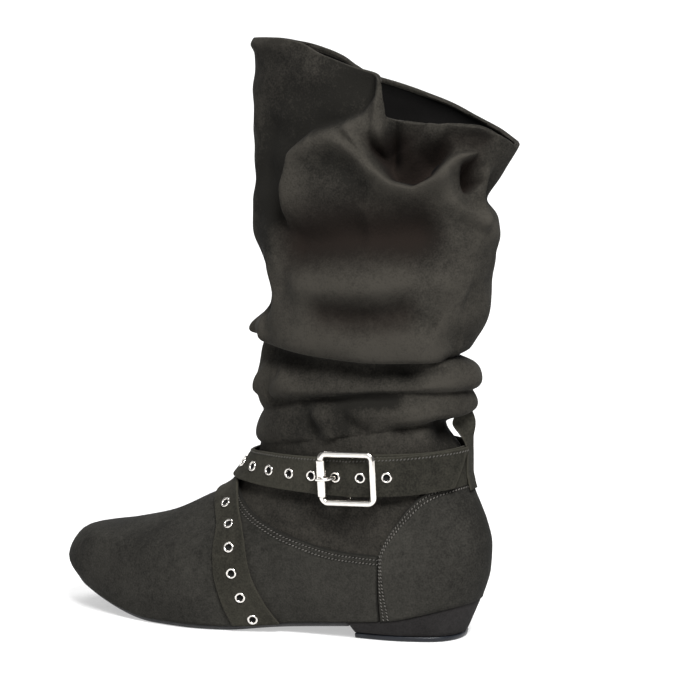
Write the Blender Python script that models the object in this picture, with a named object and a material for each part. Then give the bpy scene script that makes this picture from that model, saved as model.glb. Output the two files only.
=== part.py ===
"""Left slouch dance boot: a soft upper with a gathered shaft on a low heel, two riveted straps and a buckle.

All sizes are in millimetres and MM turns them into Blender's metres. The toe points to -Y, the outer side
of the foot is +X, the floor is z = 0 and the origin is the centre of the heel's tread.
"""

import bmesh
import bpy
import numpy as np
from mathutils import Matrix

MM = 0.001

# Driving dimensions
WALL = 1.6  # suede and its lining
GAP = 0.35  # between pieces that touch
OVERLAY = 1.2  # vamp and counter, sewn over the upper
STRAP = 1.6  # thickness of both straps
ANKLE_STRAP_WIDTH = 22.6
SOLE = 2.85
LIFT = 3.0
INSOLE = 2.2
BALL_HEIGHT = SOLE + GAP  # of the upper's bottom edge where the forefoot stands
SOLE_INSET = 0.6  # of sole and heel inside the upper's bottom edge
SOLE_BEVEL = 1.8  # further in at the ground
HEEL_TAPER_BACK = 6.0
HEEL_TAPER_SIDE = 3.0
BREAST = 61.5  # turn at which the heel's front face cuts the outline
EYELET_PITCH = 14.6
KEEPER_WIDTH = 8.0
BUCKLE_LENGTH = 33.0
BUCKLE_HEIGHT = 30.8
BUCKLE_BAR = 3.7
CENTRE_BAR = 2.6

COLUMNS = 32  # facets round the boot
FACET_STEPS = (
    # from level, to level, step
    (0.0, 3.0, 0.5),
    (3.0, 5.0, 1.0),
    (5.0, 7.0, 0.5),
    (7.0, 10.0, 0.25),
    (10.0, 13.1, 0.5),
)
LEVELS = np.concatenate([np.arange(*row) for row in FACET_STEPS])

# Outline of the upper's bottom edge: share of the length from heel to toe, then the half width divided by
# that of a unit circle at the same share, on the outer and the inner side.
FEATHER_OUTLINE = (
    # share, outer, inner
    (0.00, 60.0, 60.0),
    (0.12, 45.0, 45.0),
    (0.40, 31.0, 27.0),
    (0.66, 45.0, 42.5),
    (0.85, 46.0, 47.0),
    (1.00, 52.0, 52.0),
)
TOE_SWING = 6.0  # how far the toe leans to the inner side

# Height of that edge above the floor: heel seat, arch, flat ball and toe spring.
FEATHER_HEIGHT = (
    # share, height
    (0.00, 21.0),
    (0.05, 16.8),
    (0.14, 13.6),
    (0.26, 10.4),
    (0.45, 5.6),
    (0.56, BALL_HEIGHT),
    (0.74, BALL_HEIGHT),
    (1.00, 18.0),
)

# Sections of the foot and shaft from the bottom edge up to the collar. Each is an oval between a front point
# on toe, instep or shin and a back point on heel or calf. The lowest ones follow the bottom outline and arch.
SECTIONS = (
    # name, front y, front z, back y, back z, half width at back, at front, outline share, spread, arch share
    ("feather", -210.0, 18.0, 35.0, 21.0, 46.0, 44.0, 1.0, 0.0, 1.0),
    ("side", -216.0, 28.0, 39.5, 38.0, 45.0, 43.0, 0.9, 2.6, 0.75),
    ("toe_top", -206.0, 43.0, 40.5, 52.0, 42.0, 40.0, 0.62, 1.2, 0.35),
    ("vamp", -180.0, 48.8, 38.0, 64.0, 39.0, 32.0, 0.35, 0.3, 0.12),
    ("waist", -150.0, 56.7, 34.5, 73.0, 38.5, 28.5, 0.14, 0.0, 0.03),
    ("instep", -127.0, 67.5, 30.5, 82.0, 38.5, 28.5, 0.04, 0.0, 0.0),
    ("strap_low", -109.0, 77.0, 27.0, 94.0, 38.0, 31.0, 0.0, 0.0, 0.0),
    ("strap_top", -94.0, 98.0, 27.0, 119.0, 37.0, 34.0, 0.0, 0.0, 0.0),
    ("crease_low", -90.5, 122.0, 30.0, 138.0, 37.0, 36.0, 0.0, 0.0, 0.0),
    ("crease_main", -89.0, 160.0, 30.0, 158.0, 38.0, 37.0, 0.0, 0.0, 0.0),
    ("calf", -91.0, 198.0, 38.0, 192.0, 41.0, 39.0, 0.0, 0.0, 0.0),
    ("calf_top", -97.0, 244.0, 44.0, 230.0, 42.0, 40.0, 0.0, 0.0, 0.0),
    ("cowl", -97.5, 284.0, 46.0, 250.0, 41.0, 39.0, 0.0, 0.0, 0.0),
    ("collar", -96.0, 328.0, 56.0, 271.0, 39.0, 36.0, 0.0, 0.0, 0.0),
)

# Height of the collar's edge round the boot, with the sharp tuck on the outer side.
RIM = (
    # turn in degrees, height
    (0.0, 271.0),
    (37.0, 282.5),
    (54.0, 283.5),
    (73.0, 287.0),
    (83.0, 308.0),
    (104.0, 319.0),
    (121.0, 326.0),
    (180.0, 328.0),
    (215.0, 321.0),
    (270.0, 303.0),
    (320.0, 279.0),
    (360.0, 271.0),
)

# Rolls of slack suede. Each hangs between a lower and an upper crease, whose heights are given round the boot.
ROLLS = (
    # name, lower crease at back, outer, front, inner, upper crease at back, outer, front, inner, out, sag, peak
    ("over_strap", 124.0, 113.0, 103.5, 117.0, 138.0, 139.0, 121.0, 132.0, 4.0, 1.0, 0.45),
    ("middle", 138.0, 139.0, 121.0, 132.0, 157.0, 156.0, 163.0, 158.0, 5.5, 1.5, 0.45),
    ("calf", 157.0, 156.0, 163.0, 158.0, 240.0, 256.0, 280.0, 262.0, 6.0, 5.0, 0.17),
)

# Single folds on the shaft, each a soft ridge (out) or trough (negative) along a line on the unrolled shaft.
FOLDS = (
    # name, turn from, height from, turn to, height to, half width, out
    ("front_flap", 150.0, 168.0, 205.0, 170.0, 7.0, 3.5),
    ("front_hollow", 155.0, 188.0, 200.0, 186.0, 13.0, -6.0),
    ("pillow_front", 122.0, 258.0, 112.0, 280.0, 9.0, 4.0),
    ("pillow_top", 110.0, 283.0, 90.0, 290.0, 8.0, 4.0),
    ("cowl_hollow", 76.0, 272.0, 48.0, 268.0, 9.0, -8.0),
    ("cowl_lip", 78.0, 262.0, 50.0, 250.0, 7.0, 4.0),
    ("back_pocket", 38.0, 250.0, 20.0, 246.0, 7.0, -5.0),
    ("strap_pinch", 340.0, 119.0, 380.0, 119.0, 6.0, -8.0),
    ("inner_hollow", 300.0, 262.0, 260.0, 250.0, 14.0, -4.0),
    ("inner_ridge", 315.0, 236.0, 250.0, 222.0, 12.0, 4.0),
)
SHAFT_RADIUS = 57.0  # of the unrolled shaft

# Lines of the sewn pieces, seen from the side.
VAMP_TOP_LINE = (
    # y, z
    (-110.0, 105.0),
    (-103.0, 88.0),
    (-94.0, 74.0),
    (-82.0, 62.0),
    (-67.0, 55.5),
    (-55.0, 52.0),
    (-38.0, 49.3),
    (-11.2, 49.0),
)
COUNTER_LINE = (
    # z, y
    (-10.0, -10.8),
    (47.0, -10.2),
    (59.0, -6.5),
    (68.0, -1.0),
    (78.0, 6.5),
    (84.5, 13.5),
    (88.5, 24.0),
    (89.5, 32.0),
)
VAMP_STRAP_BAND = (
    # z, front edge y, back edge y
    (-8.0, -92.0, -62.0),
    (4.0, -96.0, -68.5),
    (17.0, -100.8, -76.5),
    (34.0, -105.0, -84.0),
    (52.0, -106.0, -87.5),
    (64.0, -111.0, -92.5),
    (74.0, -119.0, -96.5),
    (92.0, -134.0, -103.0),
)

# The ankle strap, from its fixed end behind the buckle's centre bar, back round the heel, the inner side and
# the instep, and over itself to the free end.
BUCKLE_TURN = 79.0
STRAP_WAY = (
    # degrees from the buckle, height of the strap's middle, gap to the upper
    (0.0, 94.0, GAP),
    (37.0, 99.0, 0.6),
    (77.0, 102.0, 0.6),
    (167.0, 96.5, 0.5),
    (215.0, 90.5, 0.8),
    (236.0, 89.5, 4.3),
    (256.0, 88.5, 4.3),
    (282.0, 89.0, 4.3),
    (302.0, 90.5, 3.4),
    (330.0, 91.5, 2.4),
    (360.0, 92.5, 2.4),
    (385.0, 93.2, 2.4),
    (410.0, 94.2, 3.2),
    (435.0, 94.8, 6.2),
)
STRAP_START = 2.0  # the fixed end
TIP = 430.0  # the free end
TIP_SLANT = 4.5  # how far its upper corner reaches past its middle
BAR_HUMP = 1.3  # rise of the strap over the centre bar
BAR_HUMP_REACH = 2.6  # degrees
BUCKLE_REACH = 16.0  # degrees to each side over which the buckle keeps the strap flat
PRONG_EYELET = 7.8  # ahead of the buckle's middle
EYELETS_BEFORE_PRONG = 15
EYELETS_AFTER_PRONG = 2
VAMP_EYELETS = 6  # on each side
LOWEST_VAMP_EYELET = 4.5  # above the bottom edge, along the strap


def column(table, number):
    return [row[number] for row in table]


def curve_through(table, number, at):
    """Smooth curve through one column of a table against its first, never passing beyond its rows."""
    x = np.asarray(column(table, 0), float)
    y = np.asarray(column(table, number), float)
    step = np.diff(x)
    slope = np.diff(y) / step
    total = np.where(slope[:-1] + slope[1:] == 0, 1, slope[:-1] + slope[1:])
    middle = np.where(slope[:-1] * slope[1:] > 0, 2 * slope[:-1] * slope[1:] / total, 0)
    tangent = np.concatenate([slope[:1], middle, slope[-1:]])
    at = np.clip(np.asarray(at, float), x[0], x[-1])
    k = np.clip(np.searchsorted(x, at, side="right") - 1, 0, len(step) - 1)
    t = (at - x[k]) / step[k]
    rise = y[k + 1] - y[k]
    swing = t * (1 - t) * step[k] * (tangent[k] * (1 - t) - tangent[k + 1] * t)
    return y[k] + rise * (3 * t**2 - 2 * t**3) + swing


NUMBERED_SECTIONS = [(number, *row[1:]) for number, row in enumerate(SECTIONS)]


def round_about(back, outer, front, inner, turn):
    """A value given at four places round the boot, carried smoothly between them."""
    mean = (back + outer + front + inner) / 4
    lengthwise = (back - front) / 2 * np.cos(turn)
    sideways = (outer - inner) / 2 * np.sin(turn)
    ends_over_sides = (back + front - outer - inner) / 4 * np.cos(2 * turn)
    return mean + lengthwise + sideways + ends_over_sides


def base_surface(turn, level):
    """Outer face of the upper without its folds. turn is 0 at the heel, a quarter on the outer side and a half
    at the toe, in radians; level counts up the rows of SECTIONS."""
    turn, level = np.broadcast_arrays(np.asarray(turn, float), np.asarray(level, float))
    columns = (curve_through(NUMBERED_SECTIONS, number, level) for number in range(1, 10))
    front_y, front_z, back_y, back_z, half_back, half_front, outline, spread, arch = columns
    share = (1 - np.cos(turn)) / 2
    outer_side, inner_side = (curve_through(FEATHER_OUTLINE, number, share) for number in (1, 2))
    side = np.where(np.sin(turn) >= 0, outer_side, inner_side)
    oval = half_back + (half_front - half_back) * share
    half = outline * side + (1 - outline) * oval + spread
    feather = curve_through(FEATHER_HEIGHT, 1, share)
    bow = feather - FEATHER_HEIGHT[0][1] * (1 - share) - FEATHER_HEIGHT[-1][1] * share
    collar = SECTIONS[-1][4] + (SECTIONS[-1][2] - SECTIONS[-1][4]) * share
    rim_lift = curve_through(RIM, 1, np.degrees(turn) % 360) - collar
    near_rim = np.clip((level - len(SECTIONS) + 3) / 2, 0, 1)
    x = half * np.sin(turn) - TOE_SWING * outline * share**2
    y = back_y + (front_y - back_y) * share
    z = back_z + (front_z - back_z) * share + arch * bow + near_rim**2 * rim_lift
    return np.stack([x, y, z], -1)


def roll_shape(t, peak):
    """Swell of a roll from its lower crease (0) to its upper one (1), quick at first and then thinning out."""
    inside = np.clip(t, 0, 1)
    return inside / peak * np.exp(1 - inside / peak) * (1 - inside**4)


def fold_height(turn, height, row):
    """Soft ridge along the straight line of one FOLDS row, measured on the unrolled shaft."""
    _, turn_from, height_from, turn_to, height_to, half_width, out = row
    middle = np.radians(turn_from + turn_to) / 2
    across = SHAFT_RADIUS * ((turn - middle + np.pi) % (2 * np.pi) - np.pi)
    reach = SHAFT_RADIUS * np.radians(turn_to - turn_from) / 2
    rise = (height_to - height_from) / 2
    up = height - (height_from + height_to) / 2
    along = np.clip((across * reach + up * rise) / (reach**2 + rise**2), -1, 1)
    apart = np.hypot(across - along * reach, up - along * rise)
    return out * np.exp(-((apart / half_width) ** 2))


def upper_surface(turn, level):
    """Outer face of the upper: the base form with its rolls swelling and hanging and its single folds."""
    turn, level = np.broadcast_arrays(np.asarray(turn, float), np.asarray(level, float))
    point = base_surface(turn, level)
    step = 1e-3
    along = base_surface(turn + step, level) - base_surface(turn - step, level)
    outwards = np.stack([-along[..., 1], along[..., 0], 0 * along[..., 0]], -1)
    outwards /= np.linalg.norm(outwards, axis=-1, keepdims=True)
    height = point[..., 2]
    out = sum(fold_height(turn, height, row) for row in FOLDS)
    sag = np.zeros_like(out)
    for _, *creases, roll_out, roll_sag, peak in ROLLS:
        low = round_about(*creases[:4], turn)
        high = round_about(*creases[4:], turn)
        swell = roll_shape((height - low) / (high - low), peak)
        out = out + roll_out * swell
        sag = sag + roll_sag * swell
    point = point + outwards * out[..., None]
    point[..., 2] -= sag
    return point


def upper_normal(turn, level):
    """Unit vector out of the upper's face."""
    step = 2e-3
    top = len(SECTIONS) - 1
    up = upper_surface(turn, np.clip(level + step, 0, top)) - upper_surface(turn, np.clip(level - step, 0, top))
    round_it = upper_surface(turn + step, level) - upper_surface(turn - step, level)
    normal = np.cross(up, round_it)
    return normal / np.linalg.norm(normal, axis=-1, keepdims=True)


def level_at(turn, height):
    """Level at which the upper stands at this height, for each pair of turn and height at or below the ankle."""
    levels = np.linspace(0, 8, 401)
    heights = base_surface(np.ravel(turn)[:, None], levels)[..., 2]
    found = [np.interp(wanted, row, levels) for wanted, row in zip(np.ravel(height), heights)]
    return np.reshape(found, np.shape(turn))


# Scene, materials and mesh helpers
for old in list(bpy.data.objects):
    bpy.data.objects.remove(old, do_unlink=True)
BOOT = bpy.data.objects.new("boot", None)
bpy.context.scene.collection.objects.link(BOOT)


def make_material(name, colour, roughness, metallic=0.0):
    material = bpy.data.materials.new(name)
    material.use_nodes = True
    shader = material.node_tree.nodes["Principled BSDF"]
    shader.inputs["Base Color"].default_value = (*colour, 1.0)
    shader.inputs["Roughness"].default_value = roughness
    shader.inputs["Metallic"].default_value = metallic
    return material


SUEDE = make_material("suede", (0.030, 0.028, 0.026), 0.9)
STRAP_SUEDE = make_material("strap_suede", (0.034, 0.031, 0.028), 0.85)
NICKEL = make_material("nickel", (0.78, 0.77, 0.75), 0.22, 1.0)
SOLE_LEATHER = make_material("sole_leather", (0.035, 0.035, 0.037), 0.7)
LIFT_RUBBER = make_material("lift_rubber", (0.020, 0.021, 0.023), 0.4)
LINING = make_material("lining", (0.025, 0.024, 0.023), 0.85)


def make_mesh(name, points, faces):
    """Closed mesh from points in millimetres, facing out and shaded smooth over its gentle edges."""
    mesh = bpy.data.meshes.new(name)
    mesh.from_pydata((np.asarray(points) * MM).tolist(), [], [[int(i) for i in face] for face in faces])
    work = bmesh.new()
    work.from_mesh(mesh)
    bmesh.ops.recalc_face_normals(work, faces=work.faces)
    work.to_mesh(mesh)
    work.free()
    mesh.shade_smooth()
    mesh.set_sharp_from_angle(angle=np.radians(40))
    return mesh


def add_object(name, mesh, material, matrix=None):
    if not mesh.materials:
        mesh.materials.append(material)
    made = bpy.data.objects.new(name, mesh)
    bpy.context.scene.collection.objects.link(made)
    made.parent = BOOT
    if matrix is not None:
        made.matrix_world = matrix
    return made


def add_cutter(name, points, faces):
    cutter = add_object(name, make_mesh(name, points, faces), SUEDE)
    cutter.hide_render = True
    cutter.display_type = "WIRE"
    return cutter


def cut(target, cutter, operation):
    modifier = target.modifiers.new(cutter.name, "BOOLEAN")
    modifier.operation = operation
    modifier.solver = "EXACT"
    modifier.object = cutter


def rings_to_solid(rings):
    """Points and faces of a tube through closed rings, joined end to end with the first ring again."""
    count, size = rings.shape[:2]
    index = np.arange(count * size).reshape(count, size)
    ahead = np.roll(index, -1, axis=0)
    faces = np.stack([index, ahead, np.roll(ahead, -1, axis=1), np.roll(index, -1, axis=1)], -1)
    return rings.reshape(-1, 3), faces.reshape(-1, 4).tolist()


def bar_to_solid(rings):
    """Points and faces of a bar through closed rings of points, with a flat face at each end."""
    points, faces = rings_to_solid(rings)
    count, size = rings.shape[:2]
    sides = faces[: (count - 1) * size]
    first = list(range(size))
    last = list(range((count - 1) * size, count * size))
    return points, [*sides, first, last[::-1]]


def ladder_to_solid(left, right):
    """Points and faces of a solid from rising levels of paired stations, left and right of its middle."""
    levels = np.concatenate([left, right[:, ::-1]], axis=1)
    count, size = levels.shape[:2]
    index = np.arange(count * size).reshape(count, size)
    low, high = index[:-1], index[1:]
    sides = np.stack([low, high, np.roll(high, -1, axis=1), np.roll(low, -1, axis=1)], -1).reshape(-1, 4)
    half = size // 2
    pair = np.stack([np.arange(half), size - 1 - np.arange(half)], -1)
    rungs = np.stack([pair[:-1, 0], pair[:-1, 1], pair[1:, 1], pair[1:, 0]], -1)
    top, bottom = index[-1][rungs], index[0][rungs][:, ::-1]
    return levels.reshape(-1, 3), [*sides.tolist(), *top.tolist(), *bottom.tolist()]


# Upper
TURNS = np.radians(np.arange(COLUMNS) * 360 / COLUMNS)
GRID_TURN, GRID_LEVEL = np.meshgrid(TURNS, LEVELS)
FACE = upper_surface(GRID_TURN, GRID_LEVEL)
OUT = upper_normal(GRID_TURN, GRID_LEVEL)


def shell(inner, outer, levels):
    """Closed wall between two distances from the upper's face, over a range of its levels. Both faces split
    their facets along the same diagonal, so walls at different distances stay parallel."""
    within = (LEVELS >= levels[0]) & (LEVELS <= levels[1])
    face, out = FACE[within], OUT[within]
    points = np.concatenate([(face + outer * out).reshape(-1, 3), (face + inner * out).reshape(-1, 3)])
    here = np.arange(face.shape[0] * COLUMNS).reshape(-1, COLUMNS)
    beside = np.roll(here, -1, axis=1)
    low, low_beside, high, high_beside = here[:-1], beside[:-1], here[1:], beside[1:]
    outside = [np.stack([low, high, high_beside], -1), np.stack([low, high_beside, low_beside], -1)]
    outside = np.concatenate(outside).reshape(-1, 3)
    inside = outside[:, ::-1] + here.size
    bottom = np.stack([here[0], beside[0], beside[0] + here.size, here[0] + here.size], -1)
    top = np.stack([here[-1], here[-1] + here.size, beside[-1] + here.size, beside[-1]], -1)
    return points, [*outside.tolist(), *inside.tolist(), *bottom.tolist(), *top.tolist()]


def add_upper():
    add_object("upper", make_mesh("upper", *shell(-WALL, 0.0, (0, len(SECTIONS)))), SUEDE)


# Vamp, counter and vamp strap
REACH = 120.0  # of the cutting forms past the boot
FORM_STEPS = 16  # along their curved edges
FOOT_LEVELS = (0, 8)


def side_form(name, lower, upper):
    """Cutting form that runs across the boot, from two lines of points seen from the side."""
    lines = np.stack([lower, upper])
    left, right = (np.insert(lines, 0, side, axis=-1) for side in (REACH, -REACH))
    points, faces = ladder_to_solid(left, right)
    return add_cutter(name, points, faces)


def add_vamp():
    toe, line_front, line_back = -2 * REACH, VAMP_TOP_LINE[0][0], VAMP_TOP_LINE[-1][0]
    y = np.append(np.linspace(line_back, line_front, FORM_STEPS), [line_front - 1, toe])
    top = np.where(y < line_front, REACH, curve_through(VAMP_TOP_LINE, 1, y))
    form = side_form("vamp_form", np.stack([y, np.full_like(y, -REACH)], -1), np.stack([y, top], -1))
    vamp = add_object("vamp", make_mesh("vamp", *shell(GAP, GAP + OVERLAY, FOOT_LEVELS)), SUEDE)
    cut(vamp, form, "INTERSECT")


def add_counter():
    z = np.linspace(COUNTER_LINE[0][0], COUNTER_LINE[-1][0], FORM_STEPS)
    front = curve_through(COUNTER_LINE, 1, z)
    form = side_form("counter_form", np.stack([front, z], -1), np.stack([np.full_like(z, REACH), z], -1))
    counter = add_object("counter", make_mesh("counter", *shell(GAP, GAP + OVERLAY, FOOT_LEVELS)), SUEDE)
    cut(counter, form, "INTERSECT")


VAMP_STRAP_GAP = 2 * GAP + OVERLAY


def add_vamp_strap():
    z = np.linspace(VAMP_STRAP_BAND[0][0], VAMP_STRAP_BAND[-1][0], FORM_STEPS)
    front = np.stack([curve_through(VAMP_STRAP_BAND, 1, z), z], -1)
    back = np.stack([curve_through(VAMP_STRAP_BAND, 2, z), z], -1)
    form = side_form("vamp_strap_form", front, back)
    solid = shell(VAMP_STRAP_GAP, VAMP_STRAP_GAP + STRAP, FOOT_LEVELS)
    strap = add_object("vamp_strap", make_mesh("vamp_strap", *solid), STRAP_SUEDE)
    cut(strap, form, "INTERSECT")
    return strap


# Sole, heel and insole
def foot_line(turn, inset):
    """Bottom outline of the upper, drawn in by inset towards the middle of the foot."""
    step = 1e-3
    along = base_surface(turn + step, 0.0) - base_surface(turn - step, 0.0)
    out = np.stack([-along[..., 1], along[..., 0]], -1)
    out /= np.linalg.norm(out, axis=-1, keepdims=True)
    point = base_surface(turn, 0.0)
    point[..., :2] -= inset[..., None] * out if np.ndim(inset) else inset * out
    return point


def both_sides(turn, layers):
    """Left and right stations of levels, each an inset and a function or height."""
    sides = []
    for sign in (1, -1):
        rows = []
        for inset, height in layers:
            row = foot_line(sign * turn, inset)
            row[:, 2] = height
            rows.append(row)
        sides.append(np.stack(rows))
    return sides


def feather_height(turn):
    return curve_through(FEATHER_HEIGHT, 1, (1 - np.cos(turn)) / 2)


HALF_FACET = 180 / COLUMNS
HEEL_TURNS = np.radians(np.append(np.arange(HALF_FACET, BREAST - 4, 2 * HALF_FACET), BREAST))
SOLE_TURNS = np.radians(np.append(BREAST + 0.6, np.arange(BREAST + 6.5, 180, HALF_FACET)[:-1]))
INSOLE_TURNS = np.radians(np.arange(HALF_FACET, 180, 2 * HALF_FACET))


def add_outsole():
    top = feather_height(SOLE_TURNS) - GAP
    layers = ((SOLE_INSET + SOLE_BEVEL, top - SOLE), (SOLE_INSET, top - SOLE / 2), (SOLE_INSET, top))
    add_object("outsole", make_mesh("outsole", *ladder_to_solid(*both_sides(SOLE_TURNS, layers))), SOLE_LEATHER)


def heel_inset(turn, share):
    """How far the heel's side stands inside the outline, at this share of the way down."""
    back = np.cos(turn) ** 2
    return SOLE_INSET + share * (HEEL_TAPER_SIDE + (HEEL_TAPER_BACK - HEEL_TAPER_SIDE) * back)


def add_heel():
    top = feather_height(HEEL_TURNS) - GAP
    low = LIFT + GAP
    layers = [(heel_inset(HEEL_TURNS, share), top + (low - top) * share) for share in (1.0, 0.5, 0.0)]
    add_object("heel", make_mesh("heel", *ladder_to_solid(*both_sides(HEEL_TURNS, layers))), SUEDE)


def add_heel_lift():
    edge = heel_inset(HEEL_TURNS, 1.0)
    layers = ((edge + SOLE_BEVEL, 0.0), (edge + SOLE_BEVEL / 3, LIFT / 3), (edge, LIFT))
    add_object("heel_lift", make_mesh("heel_lift", *ladder_to_solid(*both_sides(HEEL_TURNS, layers))), LIFT_RUBBER)


def add_insole():
    low = feather_height(INSOLE_TURNS)
    inset = WALL + 3 * GAP
    layers = ((inset, low), (inset, low + INSOLE))
    add_object("insole", make_mesh("insole", *ladder_to_solid(*both_sides(INSOLE_TURNS, layers))), LINING)


# Ankle strap and keeper
ARC_LEVELS = np.linspace(4.0, 8.0, 161)


def arc_along(points):
    """Length from the first point of each path to its every point."""
    steps = np.linalg.norm(np.diff(points, axis=-2), axis=-1)
    return np.insert(np.cumsum(steps, axis=-1), 0, 0.0, axis=-1)


def strap_place(way, across):
    """Turn and level of a point of the ankle strap, across millimetres above its middle line."""
    way, across = np.broadcast_arrays(np.asarray(way, float), np.asarray(across, float))
    turn = np.radians(BUCKLE_TURN - way)
    points = base_surface(turn[..., None], ARC_LEVELS)
    arc = arc_along(points)
    height = curve_through(STRAP_WAY, 1, way)
    level = np.empty(way.shape)
    for place in np.ndindex(way.shape):
        middle = np.interp(height[place], points[place][:, 2], arc[place])
        level[place] = np.interp(middle + across[place], arc[place], ARC_LEVELS)
    return turn, level


def base_normal(turn, level):
    step = 2e-3
    up = base_surface(turn, level + step) - base_surface(turn, level - step)
    round_it = base_surface(turn + step, level) - base_surface(turn - step, level)
    normal = np.cross(up, round_it)
    return normal / np.linalg.norm(normal, axis=-1, keepdims=True)


def strap_rows(way, slant=0.0):
    """Lower edge, middle and upper edge of the strap's inner face at each way, and the way out of each. The edges
    lie square to the middle line, or slant millimetres before and after it. The strap spans a hollow flat, and
    the buckle holds it flat."""
    way = np.asarray(way, float)
    gap = curve_through(STRAP_WAY, 2, way) + BAR_HUMP * np.exp(-(((way - 360) / BAR_HUMP_REACH) ** 2))
    middle = base_surface(*strap_place(way, 0.0))
    along = base_surface(*strap_place(way + 0.5, 0.0)) - base_surface(*strap_place(way - 0.5, 0.0))
    per_degree = np.linalg.norm(along, axis=-1)
    along /= per_degree[..., None]
    rows, outs = [], []
    for side in (-1, 0, 1):
        row_way = way.copy()
        across = side * ANKLE_STRAP_WIDTH / 2
        for _ in range(4 * abs(side)):
            ahead = np.sum((base_surface(*strap_place(row_way, across)) - middle) * along, -1)
            row_way += (side * slant - ahead) / per_degree
        place = strap_place(row_way, across)
        outs.append(base_normal(*place))
        rows.append(base_surface(*place) + outs[-1] * gap[..., None])
    rows, outs = np.stack(rows, -2), np.stack(outs, -2)
    chord = (rows[..., 0, :] + rows[..., 2, :]) / 2
    hollow = np.sum((chord - rows[..., 1, :]) * outs[..., 1, :], -1)
    rows[..., 1, :] += np.maximum(hollow, 0)[..., None] * outs[..., 1, :]
    held_flat = np.exp(-(((way - 360) / BUCKLE_REACH) ** 2)) * np.maximum(-hollow, 0)
    for edge in (0, 2):
        rows[..., edge, :] += held_flat[..., None] * outs[..., edge, :]
    return rows, outs


def strap_face(way):
    """Lower edge, middle and upper edge of the strap's outer face at each way."""
    rows, outs = strap_rows(way)
    return rows + STRAP * outs


def strap_frame(way):
    """Matrix at the middle of the strap's outer face: along the strap to the front, up across it, and out."""
    before, here, after = strap_face(way + np.array([-1.5, 0.0, 1.5]))
    ahead = before[1] - after[1]
    return frame_matrix(here[1], ahead, np.cross(here[2] - here[0], ahead))


def frame_matrix(origin, ahead, out):
    out = out / np.linalg.norm(out)
    ahead = ahead - out * np.dot(ahead, out)
    ahead = ahead / np.linalg.norm(ahead)
    matrix = np.eye(4)
    matrix[:3, 0] = ahead
    matrix[:3, 1] = np.cross(out, ahead)
    matrix[:3, 2] = out
    matrix[:3, 3] = origin * MM
    return matrix


def add_ankle_strap():
    facet = 360 / COLUMNS
    columns = np.arange(BUCKLE_TURN % facet + facet, TIP - 5, facet)
    over_bar = 360 + BAR_HUMP_REACH * np.array([-1.6, -0.8, 0.0, 0.8, 1.6])
    over_instep = columns[(columns > 215) & (columns < 310)] + facet / 2
    ways = np.sort(np.concatenate([[STRAP_START], columns, over_bar, over_instep]))
    inner, out = strap_rows(ways)
    tip, tip_out = strap_rows(np.array([TIP]), TIP_SLANT)
    inner, out = np.concatenate([inner, tip]), np.concatenate([out, tip_out])
    outer = inner + STRAP * out
    rings = np.concatenate([inner, outer[:, ::-1]], 1)
    return add_object("ankle_strap", make_mesh("ankle_strap", *bar_to_solid(rings)), STRAP_SUEDE)


KEEPER_THICK = 1.2
KEEPER_PATH = (
    # height, distance of the inner face from the upper's base form
    (131.0, 3.4),
    (127.5, 3.6),
    (122.0, 3.2),
    (115.5, 3.05),
    (102.0, 2.85),
    (88.0, 2.9),
    (85.8, 2.5),
    (82.5, 2.0),
)


def add_strap_keeper():
    height = np.array(column(KEEPER_PATH, 0))
    turn = np.zeros_like(height)
    level = level_at(turn, height)
    face, out = base_surface(turn, level), base_normal(turn, level)
    near = np.array(column(KEEPER_PATH, 1))[:, None]
    half = np.array([KEEPER_WIDTH / 2, 0, 0])
    inner, outer = face + near * out, face + (near + KEEPER_THICK) * out
    rings = np.stack([inner - half, inner + half, outer + half, outer - half], 1)
    add_object("strap_keeper", make_mesh("strap_keeper", *bar_to_solid(rings)), STRAP_SUEDE)


# Eyelets
EYELET_SIDES = 8
HOLE_RADIUS = 2.4
EYELET_PROFILE = (
    # radius, height above the strap's face
    (1.75, -1.3),
    (2.05, -1.3),
    (2.05, 0.5),
    (3.25, 0.5),
    (1.85, 1.05),
)


def turned(profile, sides):
    """Rings of a profile of radius and height carried round the Z axis."""
    angle = np.arange(sides) * 2 * np.pi / sides
    radius, height = np.array(profile).T
    x = np.cos(angle)[:, None] * radius
    y = np.sin(angle)[:, None] * radius
    return np.stack([x, y, np.broadcast_to(height, x.shape)], -1)


def add_eyelets(strap, frames, name):
    """Eyelets at these frames of a strap's outer face, each in its own hole."""
    mesh = make_mesh(name, *rings_to_solid(turned(EYELET_PROFILE, EYELET_SIDES)))
    points, faces = [], []
    ring = turned(((HOLE_RADIUS, 0.0),), EYELET_SIDES)[:, 0]
    for number, frame in enumerate(frames):
        add_object(f"{name}_{number + 1:02d}", mesh, NICKEL, Matrix(frame.tolist()))
        ends = np.stack([ring + [0, 0, height] for height in (-STRAP - GAP + 0.1, 0.7)])
        placed = ends @ frame[:3, :3].T + frame[:3, 3] / MM
        bar_points, bar_faces = bar_to_solid(placed)
        faces += [[i + len(points) * 2 * EYELET_SIDES for i in face] for face in bar_faces]
        points.append(bar_points)
    cut(strap, add_cutter(f"{name}_holes", np.concatenate(points), faces), "DIFFERENCE")


def along_strap(distances):
    """Ways at these distances ahead of the buckle's middle, measured along the ankle strap."""
    ways = np.linspace(90, 420, 661)
    points = strap_face(ways)[:, 1]
    arc = arc_along(points)
    return np.interp(np.interp(360, ways, arc) - distances, arc, ways)


def ankle_eyelet_frames():
    number = np.arange(-EYELETS_AFTER_PRONG, EYELETS_BEFORE_PRONG + 1)
    return [strap_frame(way) for way in along_strap(PRONG_EYELET + number * EYELET_PITCH)]


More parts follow.
